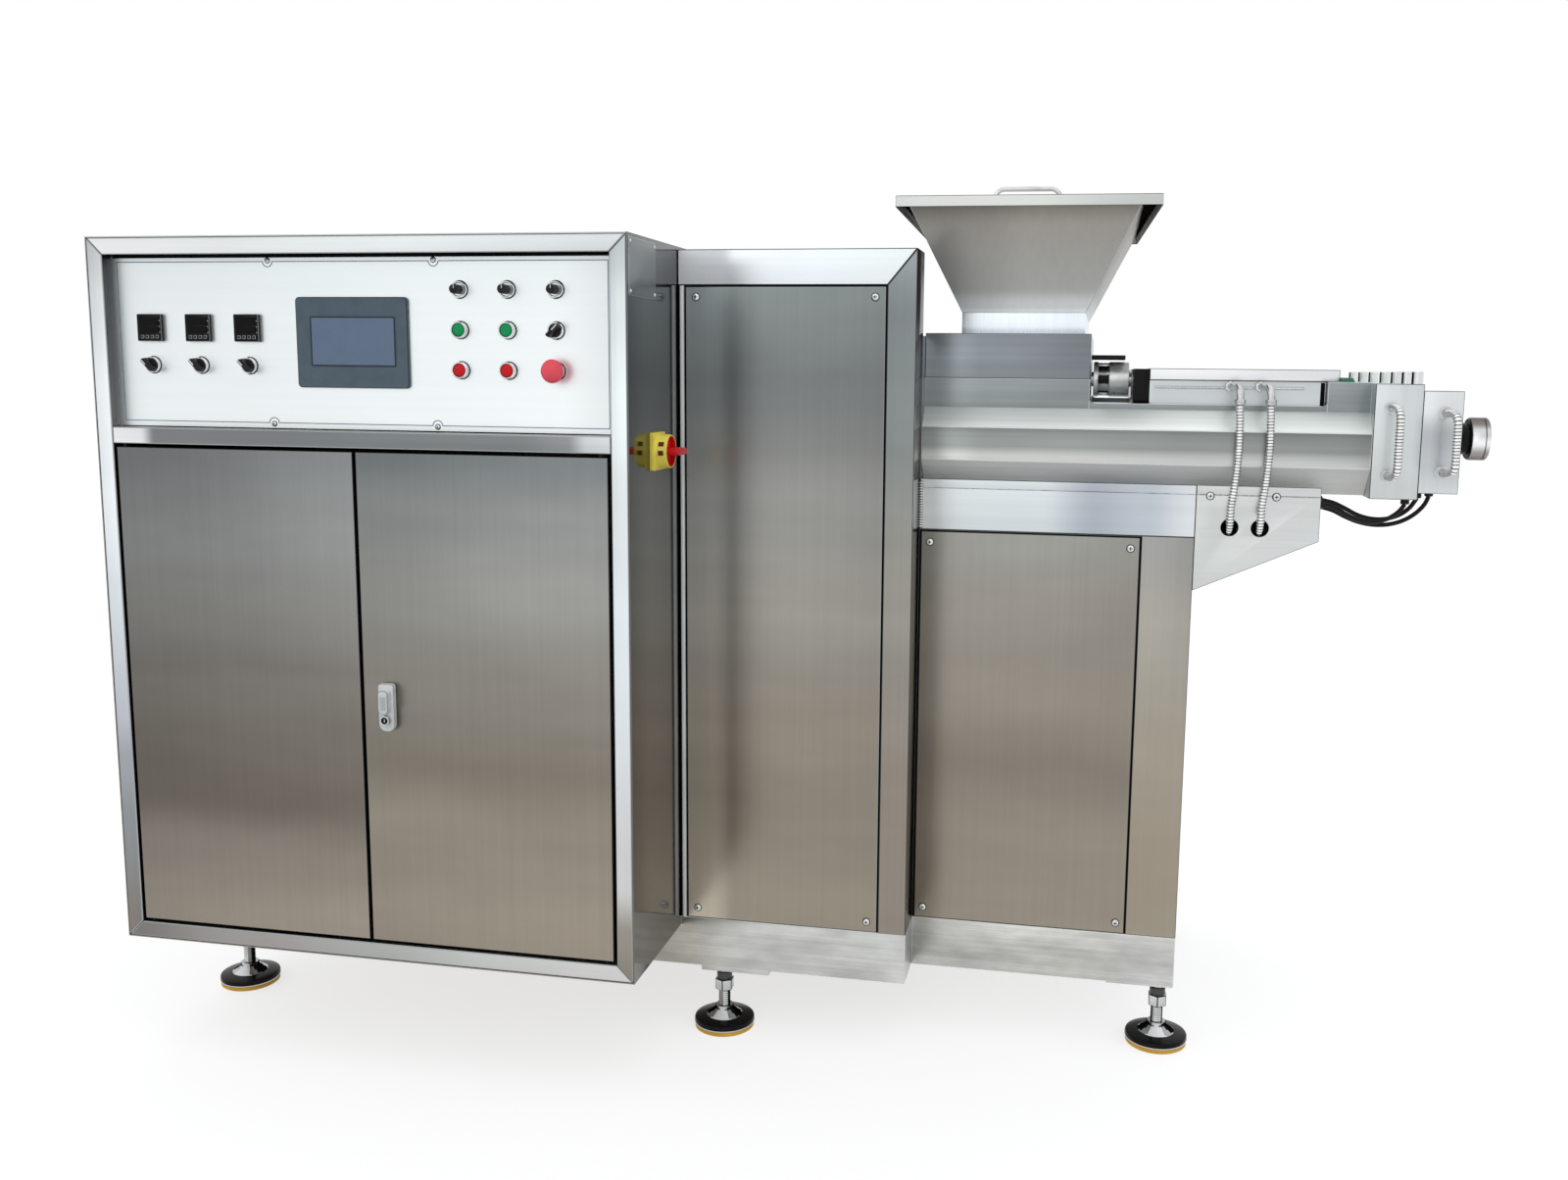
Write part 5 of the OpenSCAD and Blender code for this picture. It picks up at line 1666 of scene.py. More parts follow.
@dataclass
class CabinetDoors:
    """The two doors and the lock on the right one.

    Attributes:
        low, high, front: Underside, top and front of the doors.
        depth: Depth of their folded edges.
        skin: Thickness of their sheet.
        pin_long: Length of their hinge pins.
    """

    low: float = 258.0
    high: float = 1142.0
    front: float = 1.0
    depth: float = 10.0
    skin: float = 2.0
    pin_long: float = 24.0

    def door(self, node: str, left: float, right: float, pin: float, finish: Finish) -> None:
        """Models one folded door with its hinge pins.

        Args:
            node: Name of the CAD node and of its body.
            left: Left edge.
            right: Right edge.
            pin: Where the hinge pins stand.
            finish: Finish of the sheet.
        """
        back = self.front + self.depth
        pan = block("pan", (left, self.front, self.low), (right, back, self.high))
        push(pan, (0, 1, 0), self.skin, self.skin - self.depth)
        parts = [trim(pan, finish)]
        for z in (self.high - 16.0, self.low - 8.0):
            bolt = rod("hinge pin", (pin, self.front + self.depth / 2, z), Axis.Z, 8.0, self.pin_long, 20)
            parts.append(dress(soften(bolt, 0.6), Palette.shadow_steel))
            low, high = max(z, self.low + 1.0), min(z + self.pin_long, self.high - 1.0)
            parts.append(slab(
                "hinge block", (pin - 9, self.front + self.skin, low), (pin + 9, back, high), Palette.bright, 0.6, 1))
        assemble(f"{node}_pan", parts, "door_steel", node, body=node)

    def lock(self) -> None:
        """Models the swing-handle lock."""
        x, y, z, half, tall = 550.0, -9.0, 694.0, 15.0, 43.0
        plate = block("lock plate", (x - half, y, z - tall), (x + half, self.front, z + tall))
        for way, radius in ((1, 6.0), (-1, 13.0)):
            round_corners(plate, Axis.Y, radius, 7, lambda a, _: (
                abs(a.x - x) > half - 0.1 and way * (a.z - z) > tall - 0.1))
        # Painted shade: darker pale-edge lines along the white plate's and lever's broken edges.
        trim(plate, Palette.white_plastic, 1.4, Palette.pale_edge, 3, 50.0)
        lever = block("lock lever", (x - 9, y - 12, z - 9.0), (x + 9, y + 1, z + 33.0))
        round_corners(lever, Axis.Y, 7.0, 6)
        trim(lever, Palette.white_plastic, 1.6, Palette.pale_edge, 3, 50.0)
        keyhole = (x, y, z - 21.5)
        barrel = ((6.4, -8.0), (8.4, -8.0), (9.0, -7.2), (9.0, 2.0), (6.4, 2.0))
        core = ((0, -7.6), (5.8, -7.6), (6.4, -7.0), (6.4, 2.0), (0, 2.0))
        parts = [
            plate, lever,
            # Painted shade: a grey patch on the lever's face for its grip hollow.
            slab("lever hollow shade", (x - 5, y - 12.3, z - 2.0), (x + 5, y - 11, z + 22.0), Palette.pale_edge, 0.3, 1),
            lathe("lock barrel", barrel, keyhole, Axis.Y, Palette.bright, 32, ring=True),
            lathe("key core", core, keyhole, Axis.Y, Palette.gloss_black, 28),
            slab("key slot", (x - 0.8, y - 7.9, z - 24.5), (x + 0.8, y - 7.2, z - 18.5), Palette.bright, 0.15, 1),
        ]
        assemble("door_lock_unit", parts, "bright_metal", "door_lock", body="right_door")

    def build(self) -> None:
        """Models both doors and the lock."""
        self.door("left_door", 38.0, 497.0, 52.0, Palette.left_door)
        self.door("right_door", 503.0, 962.0, 948.0, Palette.right_door)
        self.lock()


@dataclass
class MainSwitch:
    """Main switch on the cabinet's right side.

    Attributes:
        place: Where its axis leaves the sheet.
        side: Width of its plate.
    """

    place: Point = (1000.0, 139.0, 1147.0)
    side: float = 66.0

    def base(self) -> None:
        """Models the plate with its collar."""
        x, y, z = self.place
        half = self.side / 2
        plate = block("switch plate", (x, y - half, z - half), (x + 8, y + half, z + half))
        round_corners(plate, Axis.X, 4.0, 4)
        profile = ((6.4, 6.0), (6.4, 12.0), (26.0, 12.0), (26.0, 28.0), (27.0, 29.2), (28.6, 29.2), (29.4, 27.6),
                   (30.0, 10.0), (31.0, 7.0), (28.0, 6.0))
        collar = lathe("switch collar", profile, self.place, Axis.X, Palette.yellow, 56, ring=True)
        paint(collar, Palette.red, lambda place, _: (
            place.x > x + 11.0 and math.hypot(place.y - y, place.z - z) < 26.6))
        parts = [dress(soften(plate, 0.9), Palette.yellow), collar]
        for angle in (63.0, 94.0, -63.0, -94.0):
            slot = slab("padlock slot", (x + 14.0, y - 4.2, z + 27.4), (x + 24.0, y + 4.2, z + 30.2),
                        Palette.slot_brown, 0.4, 1)
            parts.append(turn(slot, Axis.X, angle, self.place))
        assemble("main_switch_base", parts, "yellow_plastic", "main_switch_plate")

    def handle(self) -> None:
        """Models the handle that turns."""
        x, y, z = self.place
        node, end = "main_switch_handle", x + 50
        profile = ((0, 8), (5.6, 8), (5.6, 15), (24.4, 15), (25.4, 16), (25.4, 20.6), (24, 22), (0, 22))
        disc = lathe("handle disc", profile, self.place, Axis.X, Palette.red, 48)
        grip = block("handle grip", (x + 16, y - 24, z - 7), (end, y + 24, z + 7))
        round_corners(grip, Axis.X, 5.0, 5)
        taper(grip, (1, 0, 0), (1.0, 1.16, 0.84), (end, y, z))
        dress(soften(grip, 1.6, 3, 50.0), Palette.red)
        assemble("main_switch_grip", [disc, grip], "red_plastic", node, body=node)

    def build(self) -> None:
        """Models the switch."""
        self.base()
        self.handle()


@dataclass
class DriveColumn:
    """Drive column with its mitred front frame, cover and the housing behind it.

    Attributes:
        left, right, front, back, low, high: Its six faces.
        stile: Width of the right-hand stile.
        top_rail: Height of the top rail.
        low_rail: Height of the bottom rail.
        lap: How far the frame reaches under the cover.
    """

    left: float = 1000.0
    right: float = 1440.0
    front: float = 275.0
    back: float = 370.0
    low: float = 140.0
    high: float = 1505.0
    stile: float = 56.0
    top_rail: float = 67.0
    low_rail: float = 98.0
    lap: float = 3.0

    def build(self) -> None:
        """Models the column."""
        x0, x1, y0, y1 = self.left, self.right, self.front, self.back
        inner, top = x1 - self.stile + self.lap, self.high - self.top_rail + self.lap
        low = self.low + self.low_rail - self.lap
        corner = ((x1, self.high), (inner, top))
        stile = block("right stile", (inner, y0, low), (x1, y1, self.high))
        mitre(stile, *corner, (x1 - 5, low + 100))
        rail = block("top rail", (x0, y0, top), (x1, y1, self.high))
        mitre(rail, *corner, (x0 + 50, self.high - 10))
        thin = block("left stile", (x0 + 3.5, y0, low), (x0 + 11.5, y1, top))
        foot = block("bottom rail", (x0 - 60, y0, self.low), (x1, y1, low + 2.2))
        cut(foot, [block("cabinet corner", (x0 - 61, y0 - 1, 220.0), (x0, y1 + 1, low + 9))])
        core = block("core", (x0, y0 + 3, low), (inner, y1, top))
        parts = [trim(part, finish, width, rim) for part, finish, width, rim in (
            (stile, Palette.column_post, 1.8, Palette.edge), (rail, Palette.column_rail, 1.8, Palette.edge),
            (thin, Palette.glint, 0.8, Palette.pale_edge), (foot, Palette.low_rail, 1.2, Palette.glint),
            (core, Palette.slot_shadow, 1.0, Palette.slot_shadow))]
        # The column's right side gets the tone with its painted dark reflection.
        paint(stile, Palette.column_side, facing(1, 0, 0))
        paint(core, Palette.housing, facing(0, 1, 0))
        assemble("drive_column_frame", parts, "frame_steel", "drive_column")
        cover = block("drive_cover_sheet", (1015, y0 + 1, 238), (1384, y0 + 3, 1438))
        hand_over(trim(cover, Palette.cover, 0.9, Palette.pale_edge), "door_steel", "drive_front_cover")
        carry_over(Palette.housing, "drive_housing")
        carry_over(Palette.cover, "drive_rear_cover")
        SCREWS.corners("drive_cover_screws", (1034.0, 1365.0), y0 + 1, (257.0, 1420.0))
        SCREWS.corners("drive_rear_screws", (1076.0, 1365.0), 1099.0, (257.0, 1269.0), 180.0)


@dataclass
class BaseFrame:
    """Base under the barrels with its covers, beam and cable bracket.

    Attributes:
        left, right, front, back, low, high: The six faces of the frame, on which the beam lies.
        post: Width of the right-hand post.
        beam_top: Top of the beam and of the bracket.
        lip_top: Top of their lips.
        lip: Thickness of the lips and of the bracket's sheet.
        bracket_low: Underside of the bracket beside the beam.
    """

    left: float = 1440.0
    right: float = 1940.0
    front: float = 370.0
    back: float = 1050.0
    low: float = 140.0
    high: float = 998.0
    post: float = 96.0
    beam_top: float = 1078.0
    lip_top: float = 1093.0
    lip: float = 4.0
    bracket_low: float = 901.0

    def frame(self) -> None:
        """Models the base frame and its covers."""
        x0, x1, y0, y1 = self.left, self.right, self.front, self.back
        inner, rail = x1 - self.post + 3, self.low + 95
        post = block("right post", (inner, y0, rail + 2), (x1, y1, self.high))
        foot = block("bottom rail", (x0, y0, self.low), (x1, y1, rail + 2.2))
        core = block("core", (x0, y0 + 3, rail), (inner, y1 - 3, self.high))
        lid = block("top edge", (x0, y0, self.high - 2), (inner, y1, self.high))
        parts = [trim(part, finish, rim=rim) for part, finish, rim in (
            (post, Palette.base_post, Palette.edge), (foot, Palette.low_rail, Palette.glint),
            (core, Palette.slot_shadow, Palette.slot_shadow), (lid, Palette.base_post, Palette.edge))]
        assemble("base_frame_bars", parts, "frame_steel", "base_frame")
        cover = block("base_cover_sheet", (x0 + 4, y0 + 1, 238), (x1 - self.post, y0 + 3, self.high - 4))
        hand_over(trim(cover, Palette.low_cover, 0.9), "door_steel", "base_front_cover")
        carry_over(Palette.low_cover, "base_rear_cover")
        for name, y, facing in (("base_cover_screws", y0 + 1, 0.0), ("base_rear_screws", y1 - 1, 180.0)):
            SCREWS.corners(name, (1460.0, 1828.0), y, (258.0, 974.0), facing)

    def lips(self, left: float, right: float) -> list[Piece]:
        """Models the upright lips at the front and at the back."""
        low = self.beam_top - self.lip
        return [block("lip", (left, y, low), (right, y + self.lip, self.lip_top))
                for y in (self.front, self.back - self.lip)]

    def beam(self) -> None:
        """Models the beam with its lips and the weld bead at its end."""
        beam = block("beam", (self.left, self.front, self.high), (self.right, self.back, self.beam_top))
        parts = [trim(part, Palette.beam) for part in (beam, *self.lips(self.left, self.right))]
        assemble("support_beam_bar", parts, "satin_steel", "support_beam")
        start = self.high + 2.0
        path = [spot((self.left + 1.6, self.front - 0.2, start + 2.4 * step)) for step in range(38)]
        bead = tube("beam_weld_bead", path, 8.0, Palette.hub, 3, swell=(1.0, 0.8))
        # Painted shade: dark rings between the bead's ripples.
        paint(bead, Palette.edge, lambda place, _: round((place.z - start) / 1.2) % 4 == 1)
        hand_over(bead, "bright_metal")

    @staticmethod
    def wedge(name: str, low: Point, high: Point, rise: float) -> Piece:
        """Models a box whose underside rises to the right.

        Args:
            name: Plain name of the piece.
            low: Its lowest corner.
            high: Its highest corner.
            rise: How much higher the right end of its underside is.

        Returns:
            The wedge.
        """
        obj = block(name, low, high)
        with editing(obj, "EDGE"):
            pick_edges(obj, lambda a, b: min(a.x, b.x) > high[0] - 1 and max(a.z, b.z) < low[2] + 1)
            bpy.ops.transform.translate(value=(0.0, 0.0, rise * MM))
        return obj

    def bracket(self) -> None:
        """Models the tapered cable bracket."""
        x0, x1, y0, y1, t = self.right, BRACKET_END, self.front, self.back, self.lip
        shell = self.wedge("bracket", (x0, y0, self.bracket_low), (x1, y1, self.beam_top), 96.0)
        core = self.wedge(
            "hollow", (x0 + t, y0 + t, self.bracket_low + 8), (x1 - t, y1 - t, self.beam_top - t), 92.0)
        cut(shell, [core, *(rod("hose opening", (x, y0 - 2, 1018), Axis.Y, 30.0, 8.0, 36) for x in HOSE_XS)])
        parts = [trim(part, Palette.bracket, 0.9, angle=50.0) for part in (shell, *self.lips(x0, x1))]
        assemble("cable_bracket_shell", parts, "satin_steel", "cable_bracket")
        SCREWS.spread("bracket_screws", SCREWS.pan_screw(13.0), [(1964, y0, 1074), (2078, y0, 1075)])

    def build(self) -> None:
        """Models the base."""
        self.frame()
        self.beam()
        self.bracket()


@dataclass
class LevellingFeet:
    """Six levelling feet.

    Attributes:
        places: Middle of each foot, underside above it, and left and right ends of its plate.
        stem_low: Top of the foot, where its stem starts.
    """

    places: tuple[tuple[float, float, float, float, float], ...] = (
        (43.0, 303.0, 220.0, 0.0, 0.0), (43.0, 1040.0, 220.0, 0.0, 0.0), (1075.0, 322.5, 140.0, 1041.0, 1175.0),
        (1075.0, 1040.0, 140.0, 1041.0, 1175.0), (1915.0, 432.0, 140.0, 1815.0, 1940.0),
        (1915.0, 988.0, 140.0, 1815.0, 1940.0))
    stem_low: float = 43.0

    def discs(self) -> None:
        """Models rings and plates from one of each."""
        ring = lathe("ring", ((0, 0), (56, 0), (58, 1.5), (58, 8), (57, 9), (0, 9)), ZERO, Axis.Z, Palette.amber, 56)
        disc, cone, line = (lathe(name, profile, ZERO, Axis.Z, finish, steps) for name, profile, finish, steps in (
            ("disc", ((0, 12), (58.0, 12), (59, 12.6), (59, 17.4), (58, 19.6), (55, 20.8), (42, 22.6), (31, 24.6),
                      (0, 24.6)), Palette.gloss_black, 64),
            ("cone", ((0, 20), (36, 23.2), (33, 25.0), (25, 30.4), (20.6, 34.0), (18, 36.0), (18, 42), (17, 43),
                      (0, 43)), Palette.glint, 48),
            ("line", ((0, 9), (58.4, 9), (59.2, 9.8), (59.2, 11.6), (58.4, 12.2), (0, 12.2)), Palette.bright, 64)))
        # Painted reflections on the feet: a bright cone front, a chrome band and shadowed sides, and a gloss-black
        # disc for the pad's dark mirror image.
        paint(cone, Palette.chrome, lambda _, look: abs(look.x) > 0.3 or abs(look.z) > 0.95)
        paint(cone, Palette.shadow_steel, lambda _, look: abs(look.x) > 0.5)
        shifts = [(x, y, 0) for x, y, *_ in self.places]
        assemble("foot_ring_set", copies(ring, shifts), "amber_rubber", "foot_rings")
        assemble("foot_plate_set", copies(join("pad", [disc, cone, line]), shifts), "bright_metal", "foot_plates")

    def stems(self) -> None:
        """Models the threaded stems with their nuts and the plates above them."""
        parts = []
        for x, y, under, left, right in self.places:
            long = under - self.stem_low
            turns = int(long / 2.0)
            thread = [(11.6 if step % 2 else 10.4, self.stem_low + step * long / turns) for step in range(turns + 1)]
            profile = [(0, self.stem_low - 1), *thread, (0, under)]
            stem = lathe("stem", profile, (x, y, 0), Axis.Z, Palette.bright, 28, 25.0)
            parts.append(paint(stem, Palette.shadow_steel, lambda _, look: abs(look.x) > 0.7))
            below = under - 28.0 if right > left else under
            # Painted shade: the stub at the top of each stem is dark.
            stub = rod("stem stub", (x, y, below - 14.0), Axis.Z, 30.0, 14.0, 24)
            parts.append(dress(soften(stub, 0.8), Palette.edge))
            nut = rod("lock nut", (x, y, below - 36.0), Axis.Z, 38.0, 22.0, 6)
            parts.append(trim(nut, Palette.bright, 1.4, Palette.shadow_steel))
            if right > left:
                parts.append(slab(
                    "foot plate", (left, y - 45, under - 10), (right, y + 45, under), Palette.low_rail, 0.8))
        assemble("foot_stem_set", parts, "bright_metal", "foot_stems")

    def build(self) -> None:
        """Models the feet."""
        self.discs()
        self.stems()


@dataclass
class Barrels:
    """Folded barrel jacket and the feed block on it.

    Attributes:
        left, right, front, back, low, high: The six faces of the jacket's folded hull.
        box_front, box_back, box_top: Front, back and top of the boxes on it.
        feed_end: Right end of the left box and of the feed block.
        end_box: Left end of the right box.
        feed_top: Top of the feed block.
        wall: Thickness of the low walls between the boxes.
        fillet: Radius of the fillets at their ends.
    """

    left: float = 1440.0
    right: float = 2234.0
    front: float = 370.0
    back: float = 1050.0
    low: float = 1078.0
    high: float = 1226.0
    box_front: float = 406.0
    box_back: float = 1014.0
    box_top: float = 1279.0
    feed_end: float = 1744.0
    end_box: float = 2160.0
    feed_top: float = 1361.0
    wall: float = 6.0
    fillet: float = 8.0

    def hull(self) -> Piece:
        """Models the hull with its chamfers.

        Returns:
            The hull.
        """
        hull = block("hull", (self.left, self.front, self.low), (self.right, self.back, self.high))
        for height, size in ((self.high, 36.0), (self.low, 50.0)):
            round_corners(hull, Axis.X, size, 1, lambda a, _: abs(a.z - height) < 1)
        # The folds get a painted highlight and both chamfers painted highlights; the top keeps the plain satin tone.
        trim(hull, Palette.jacket, 1.4, Palette.fold, 3, 30.0)
        for finish, way in ((Palette.lit_upper_slope, 1), (Palette.lit_lower_slope, -1)):
            paint(hull, finish, lambda _, look: abs(look.y) > 0.69 and look.z * way > 0.69)
        return paint(hull, Palette.satin, facing(0, 0, 1))

    def jacket(self) -> None:
        """Models the jacket with its box ends and low walls."""
        parts = [self.hull()]
        low, size = self.high - 2, self.fillet
        for start, end in ((self.left, self.feed_end), (self.end_box, self.right)):
            box = block("box", (start, self.box_front, low), (end, self.box_back, self.box_top))
            trim(box, Palette.jacket, 1.0, Palette.fold)
            # The top and the box ends keep the plain satin tone; the front carries the painted reflections.
            parts.append(paint(box, Palette.satin, lambda _, look: look.z > 0.9 or abs(look.x) > 0.9))
        for y in (self.box_front, self.box_back - self.wall):
            wall = block("low wall", (self.feed_end - 1, y, low), (self.end_box + 1, y + self.wall, low + 12))
            parts.append(trim(wall, Palette.jacket, 0.8, Palette.fold))
            for x, way in ((self.feed_end, 1), (self.end_box, -1)):
                end, top = x + way * size, low + 20
                web = block("fillet", (min(x, end), y, low + 11), (max(x, end), y + self.wall, top))
                cut(web, [rod("round", (end, y - 1, top), Axis.Y, size * 2, self.wall + 2, 40)])
                parts.append(dress(smooth(web, 30.0), Palette.jacket))
        assemble("barrel_jacket_shell", parts, "satin_steel", "barrel_jacket")

    def feed_block(self) -> None:
        """Models the feed block with its throat."""
        body = block("feed_block_body", (self.left, self.box_front, self.box_top),
                     (self.feed_end, self.box_back, self.feed_top))
        cut(body, [block("throat", (1507, 443, self.box_top - 1), (1729, 977, self.feed_top + 1))])
        # The front carries the painted light; the top and right end keep the plain satin tone.
        trim(body, Palette.feed_block)
        paint(body, Palette.satin, lambda _, look: look.z > 0.9 or look.x > 0.9)
        hand_over(body, "satin_steel", "feed_block")

    def gasket(self) -> None:
        """Models the gasket strip on the jacket's end."""
        top = self.box_top + 7.5
        strip = block("gasket_strip", (2184, self.box_front + 4, self.box_top), (2206, self.box_back - 4, top))
        taper(strip, (0, 0, 1), (0.6, 1.0, 1.0), (2195, 710, top))
        hand_over(dress(soften(strip, 1.0, 3, 20.0), Palette.gasket), "green_plastic")

    def build(self) -> None:
        """Models the barrels."""
        self.jacket()
        self.feed_block()
        self.gasket()


@dataclass
class FeedHopper:
    """Flared hopper and its lift-off lid.

    Attributes:
        middle: Middle of the hopper, as X and Y.
        low: Underside of the neck.
        neck_high: Height of the neck.
        flare_high: Height of the sloping sheets above it.
        neck: Width and depth of the neck.
        rim: Width and depth of the rim.
        wall: Thickness of the sheet.
        lid_top: Top of the lid.
        lid_high: Height of its folded edge.
        lid_over: How far the lid stands over the rim.
        lid_shift: How far the loose lid lies off the middle, along X.
        lid_turn: How far it lies turned, in degrees.
        handle_shift: How far its handle stands left of its middle.
        handle_reach: Half the length of its handle.
    """

    middle: tuple[float, float] = (1618.0, 710.0)
    low: float = 1361.0
    neck_high: float = 40.0
    flare_high: float = 196.0
    neck: tuple[float, float] = (222.0, 540.0)
    rim: tuple[float, float] = (416.0, 712.0)
    wall: float = 3.0
    lid_top: float = 1600.3
    lid_high: float = 20.0
    lid_over: float = 26.0
    lid_shift: float = -6.0
    lid_turn: float = 2.0
    handle_shift: float = 8.0
    handle_reach: float = 66.0

    def hopper(self) -> None:
        """Models the neck and the sloping sheets."""
        x, y = self.middle
        bpy.ops.object.select_all(action="DESELECT")
        bpy.ops.mesh.primitive_plane_add(size=1.0, location=spot((x, y, self.low)))
        bpy.context.object.scale = (self.neck[0] * MM, self.neck[1] * MM, 1.0)
        shell = settle("hopper_shell")
        with editing(shell):
            bpy.ops.mesh.select_all(action="SELECT")
            for rise in (self.neck_high, self.flare_high):
                bpy.ops.mesh.extrude_region_move(TRANSFORM_OT_translate={"value": (0.0, 0.0, rise * MM)})
            bpy.ops.transform.resize(
                value=(self.rim[0] / self.neck[0], self.rim[1] / self.neck[1], 1.0),
                center_override=spot((x, y, self.low + self.neck_high + self.flare_high)))
            pick_faces(shell, lambda _, look: abs(look.z) > 0.95)
            bpy.ops.mesh.delete(type="FACE")
            bpy.ops.mesh.select_all(action="SELECT")
            bpy.ops.mesh.normals_make_consistent(inside=False)
        only(shell)
        thick = shell.modifiers.new("sheet", "SOLIDIFY")
        thick.thickness = self.wall * MM
        thick.offset = -1.0
        thick.use_even_offset = True
        bpy.ops.object.modifier_apply(modifier=thick.name)
        trim(shell, Palette.hopper, rim=Palette.pale_edge, angle=12.0)
        fold = self.low + self.neck_high
        # The upright neck gets its near-white painted highlight.
        paint(shell, Palette.neck, lambda place, look: abs(look.z) < 0.2 and place.z < fold + 1)
        hand_over(shell, "satin_steel", "hopper")

    def handle(self, x: float, y: float, top: float = 1657.3, bend: float = 20.0) -> list[Piece]:
        """Models the bent handle of the lid.

        Args:
            x: Its middle along the machine.
            y: Its distance from the front.
            top: Height of its upper middle line.
            bend: Radius of its bends.

        Returns:
            The handle and its two welds.
        """
        reach = self.handle_reach
        path, welds = [], []
        profile = ((0, 2.4), (5.2, 2.4), (6.6, 1.0), (7.4, 0.0), (0, 0.0))
        for side in (-1, 1):
            end = x + side * reach
            arc = [(end, y, 1598.0), (end, y, 1615.0)]
            for angle in (math.radians(90.0 * step / 8) for step in range(9)):
                out, up = reach - bend + bend * math.cos(angle), bend * math.sin(angle) - bend
                arc.append((x + side * out, y, top + up))
            path.extend(arc if side < 0 else reversed(arc))
            base = (end, y, self.lid_top - 0.1)
            welds.append(lathe("handle weld", profile, base, Axis.Z, Palette.bright, 24, 60.0))
        return [tube("lid handle", [spot(place) for place in path], 10.0, Palette.ring, 5, 50.0), *welds]

    def lid(self) -> None:
        """Models the folded lid, which lies a little askew."""
        x, y, inset = self.middle[0] + self.lid_shift, self.middle[1], 60.0
        wide, deep = self.rim[0] / 2 + self.lid_over, self.rim[1] / 2 + self.lid_over
        low, sheet = self.lid_top - self.lid_high, self.lid_top - 2.8
        pan = block("lid pan", (x - wide, y - deep, low), (x + wide, y + deep, self.lid_top))
        push(pan, (0, 0, -1), 3.0, 3.0 - self.lid_high)
        round_corners(pan, Axis.Z, 2.6, 3)
        trim(pan, Palette.lid)
        paint(pan, Palette.slot_shadow, lambda place, look: look.z < -0.5 or (
            abs(look.z) < 0.5 and abs(place.x - x) < wide - 1.5 and abs(place.y - y) < deep - 1.5))
        lining = block("lid lining", (x - wide + inset, y - deep + inset, sheet - 1.4),
                       (x + wide - inset, y + deep - inset, sheet))
        trim(lining, Palette.satin, 0.4)
        parts = [pan, lining, *self.handle(x - self.handle_shift, y)]
        lid = turn(join("hopper_lid_pan", parts), Axis.Z, self.lid_turn, (x, y, 0))
        hand_over(lid, "satin_steel", "hopper_lid", body="hopper_lid")

    def build(self) -> None:
        """Models hopper and lid."""
        self.hopper()
        self.lid()


@dataclass
class HeadDrive:
    """Coupling, bearing plate and housing between the feed block and the head.

    Attributes:
        shaft: Where the shaft leaves the feed block.
        plate_left: Left face of the bearing plate.
        left, right, front, back, low, high: The six faces of the housing.
    """

    shaft: Point = (1744.0, 710.0, 1278.0)
    plate_left: float = 1823.0
    left: float = 1851.0
    right: float = 2160.0
    front: float = 430.0
    back: float = 990.0
    low: float = 1226.0
    high: float = 1279.0

    def coupling(self) -> None:
        """Models the jaw coupling and its guard plate."""
        x, y, z = self.shaft
        long = self.plate_left - x
        parts = [
            lathe("shaft", ((0, 0), (15, 0), (15, long), (0, long)), self.shaft, Axis.X, Palette.bright, 32),
            lathe("spider", ((0, 6), (28, 6), (28, long - 6), (0, long - 6)), self.shaft, Axis.X, Palette.black),
        ]
        for start, end in ((4.0, 13.5), (35.0, 75.0)):
            profile = ((0, start), (33.8, start), (35, start + 1.2), (35, end - 1.2), (33.8, end), (0, end))
            parts.append(lathe("hub", profile, self.shaft, Axis.X, Palette.coupling, 48, 30.0))
        for angle in range(0, 360, 60):
            jaw = slab("jaw", (x + 12, y - 8, z + 17), (x + 36, y + 8, z + 33), Palette.bright, 1.0)
            parts.append(turn(jaw, Axis.X, angle, self.shaft))
        assemble("drive_coupling_jaws", parts, "bright_metal", "drive_coupling")
        guard = block("coupling_guard_plate", (x, y - 50, z + 39), (x + 66, y + 50, z + 48))
        round_corners(guard, Axis.Z, 3.0, 3)
        hand_over(dress(soften(guard, 1.0), Palette.black), "black_plastic", "coupling_guard")

    def housing(self) -> None:
        """Models the bearing plate, the housing and its cover."""
        y0, y1, low, high = self.front, self.back, self.low, self.high
        plate = slab("bearing_plate_bar", (self.plate_left, y0, low), (self.left, y1, 1299), Palette.gloss_black, 1.5)
        hand_over(plate, "black_plastic", "bearing_plate")
        box = block("box", (self.left, y0, low), (self.right, y1, high))
        push(box, (0, -1, 0), 7.0, -1.6)
        trim(box, Palette.satin, 0.8)
        path = [spot((self.left + 11.0 + 3.0 * step, y0 + 1.4, high - 13.0)) for step in range(88)]
        seam = tube("seam", path, 6.0, Palette.bright, 2, swell=(1.0, 0.6, 0.9, 0.5))
        gap = block("end gap", (self.right - 9, y0 - 0.8, low + 3), (self.right - 2, y0 + 2.6, high - 2))
        parts = [box, seam, dress(gap, Palette.slot_shadow)]
        assemble("head_drive_box", parts, "satin_steel", "head_drive_housing")
        cover = block("head_drive_lid", (self.left, y0 - 6, high), (self.right + 22, y1 + 6, high + 21))
        hand_over(trim(cover, Palette.drive_lid), "satin_steel", "head_drive_cover")

    def build(self) -> None:
        """Models the head drive."""
        self.coupling()
        self.housing()


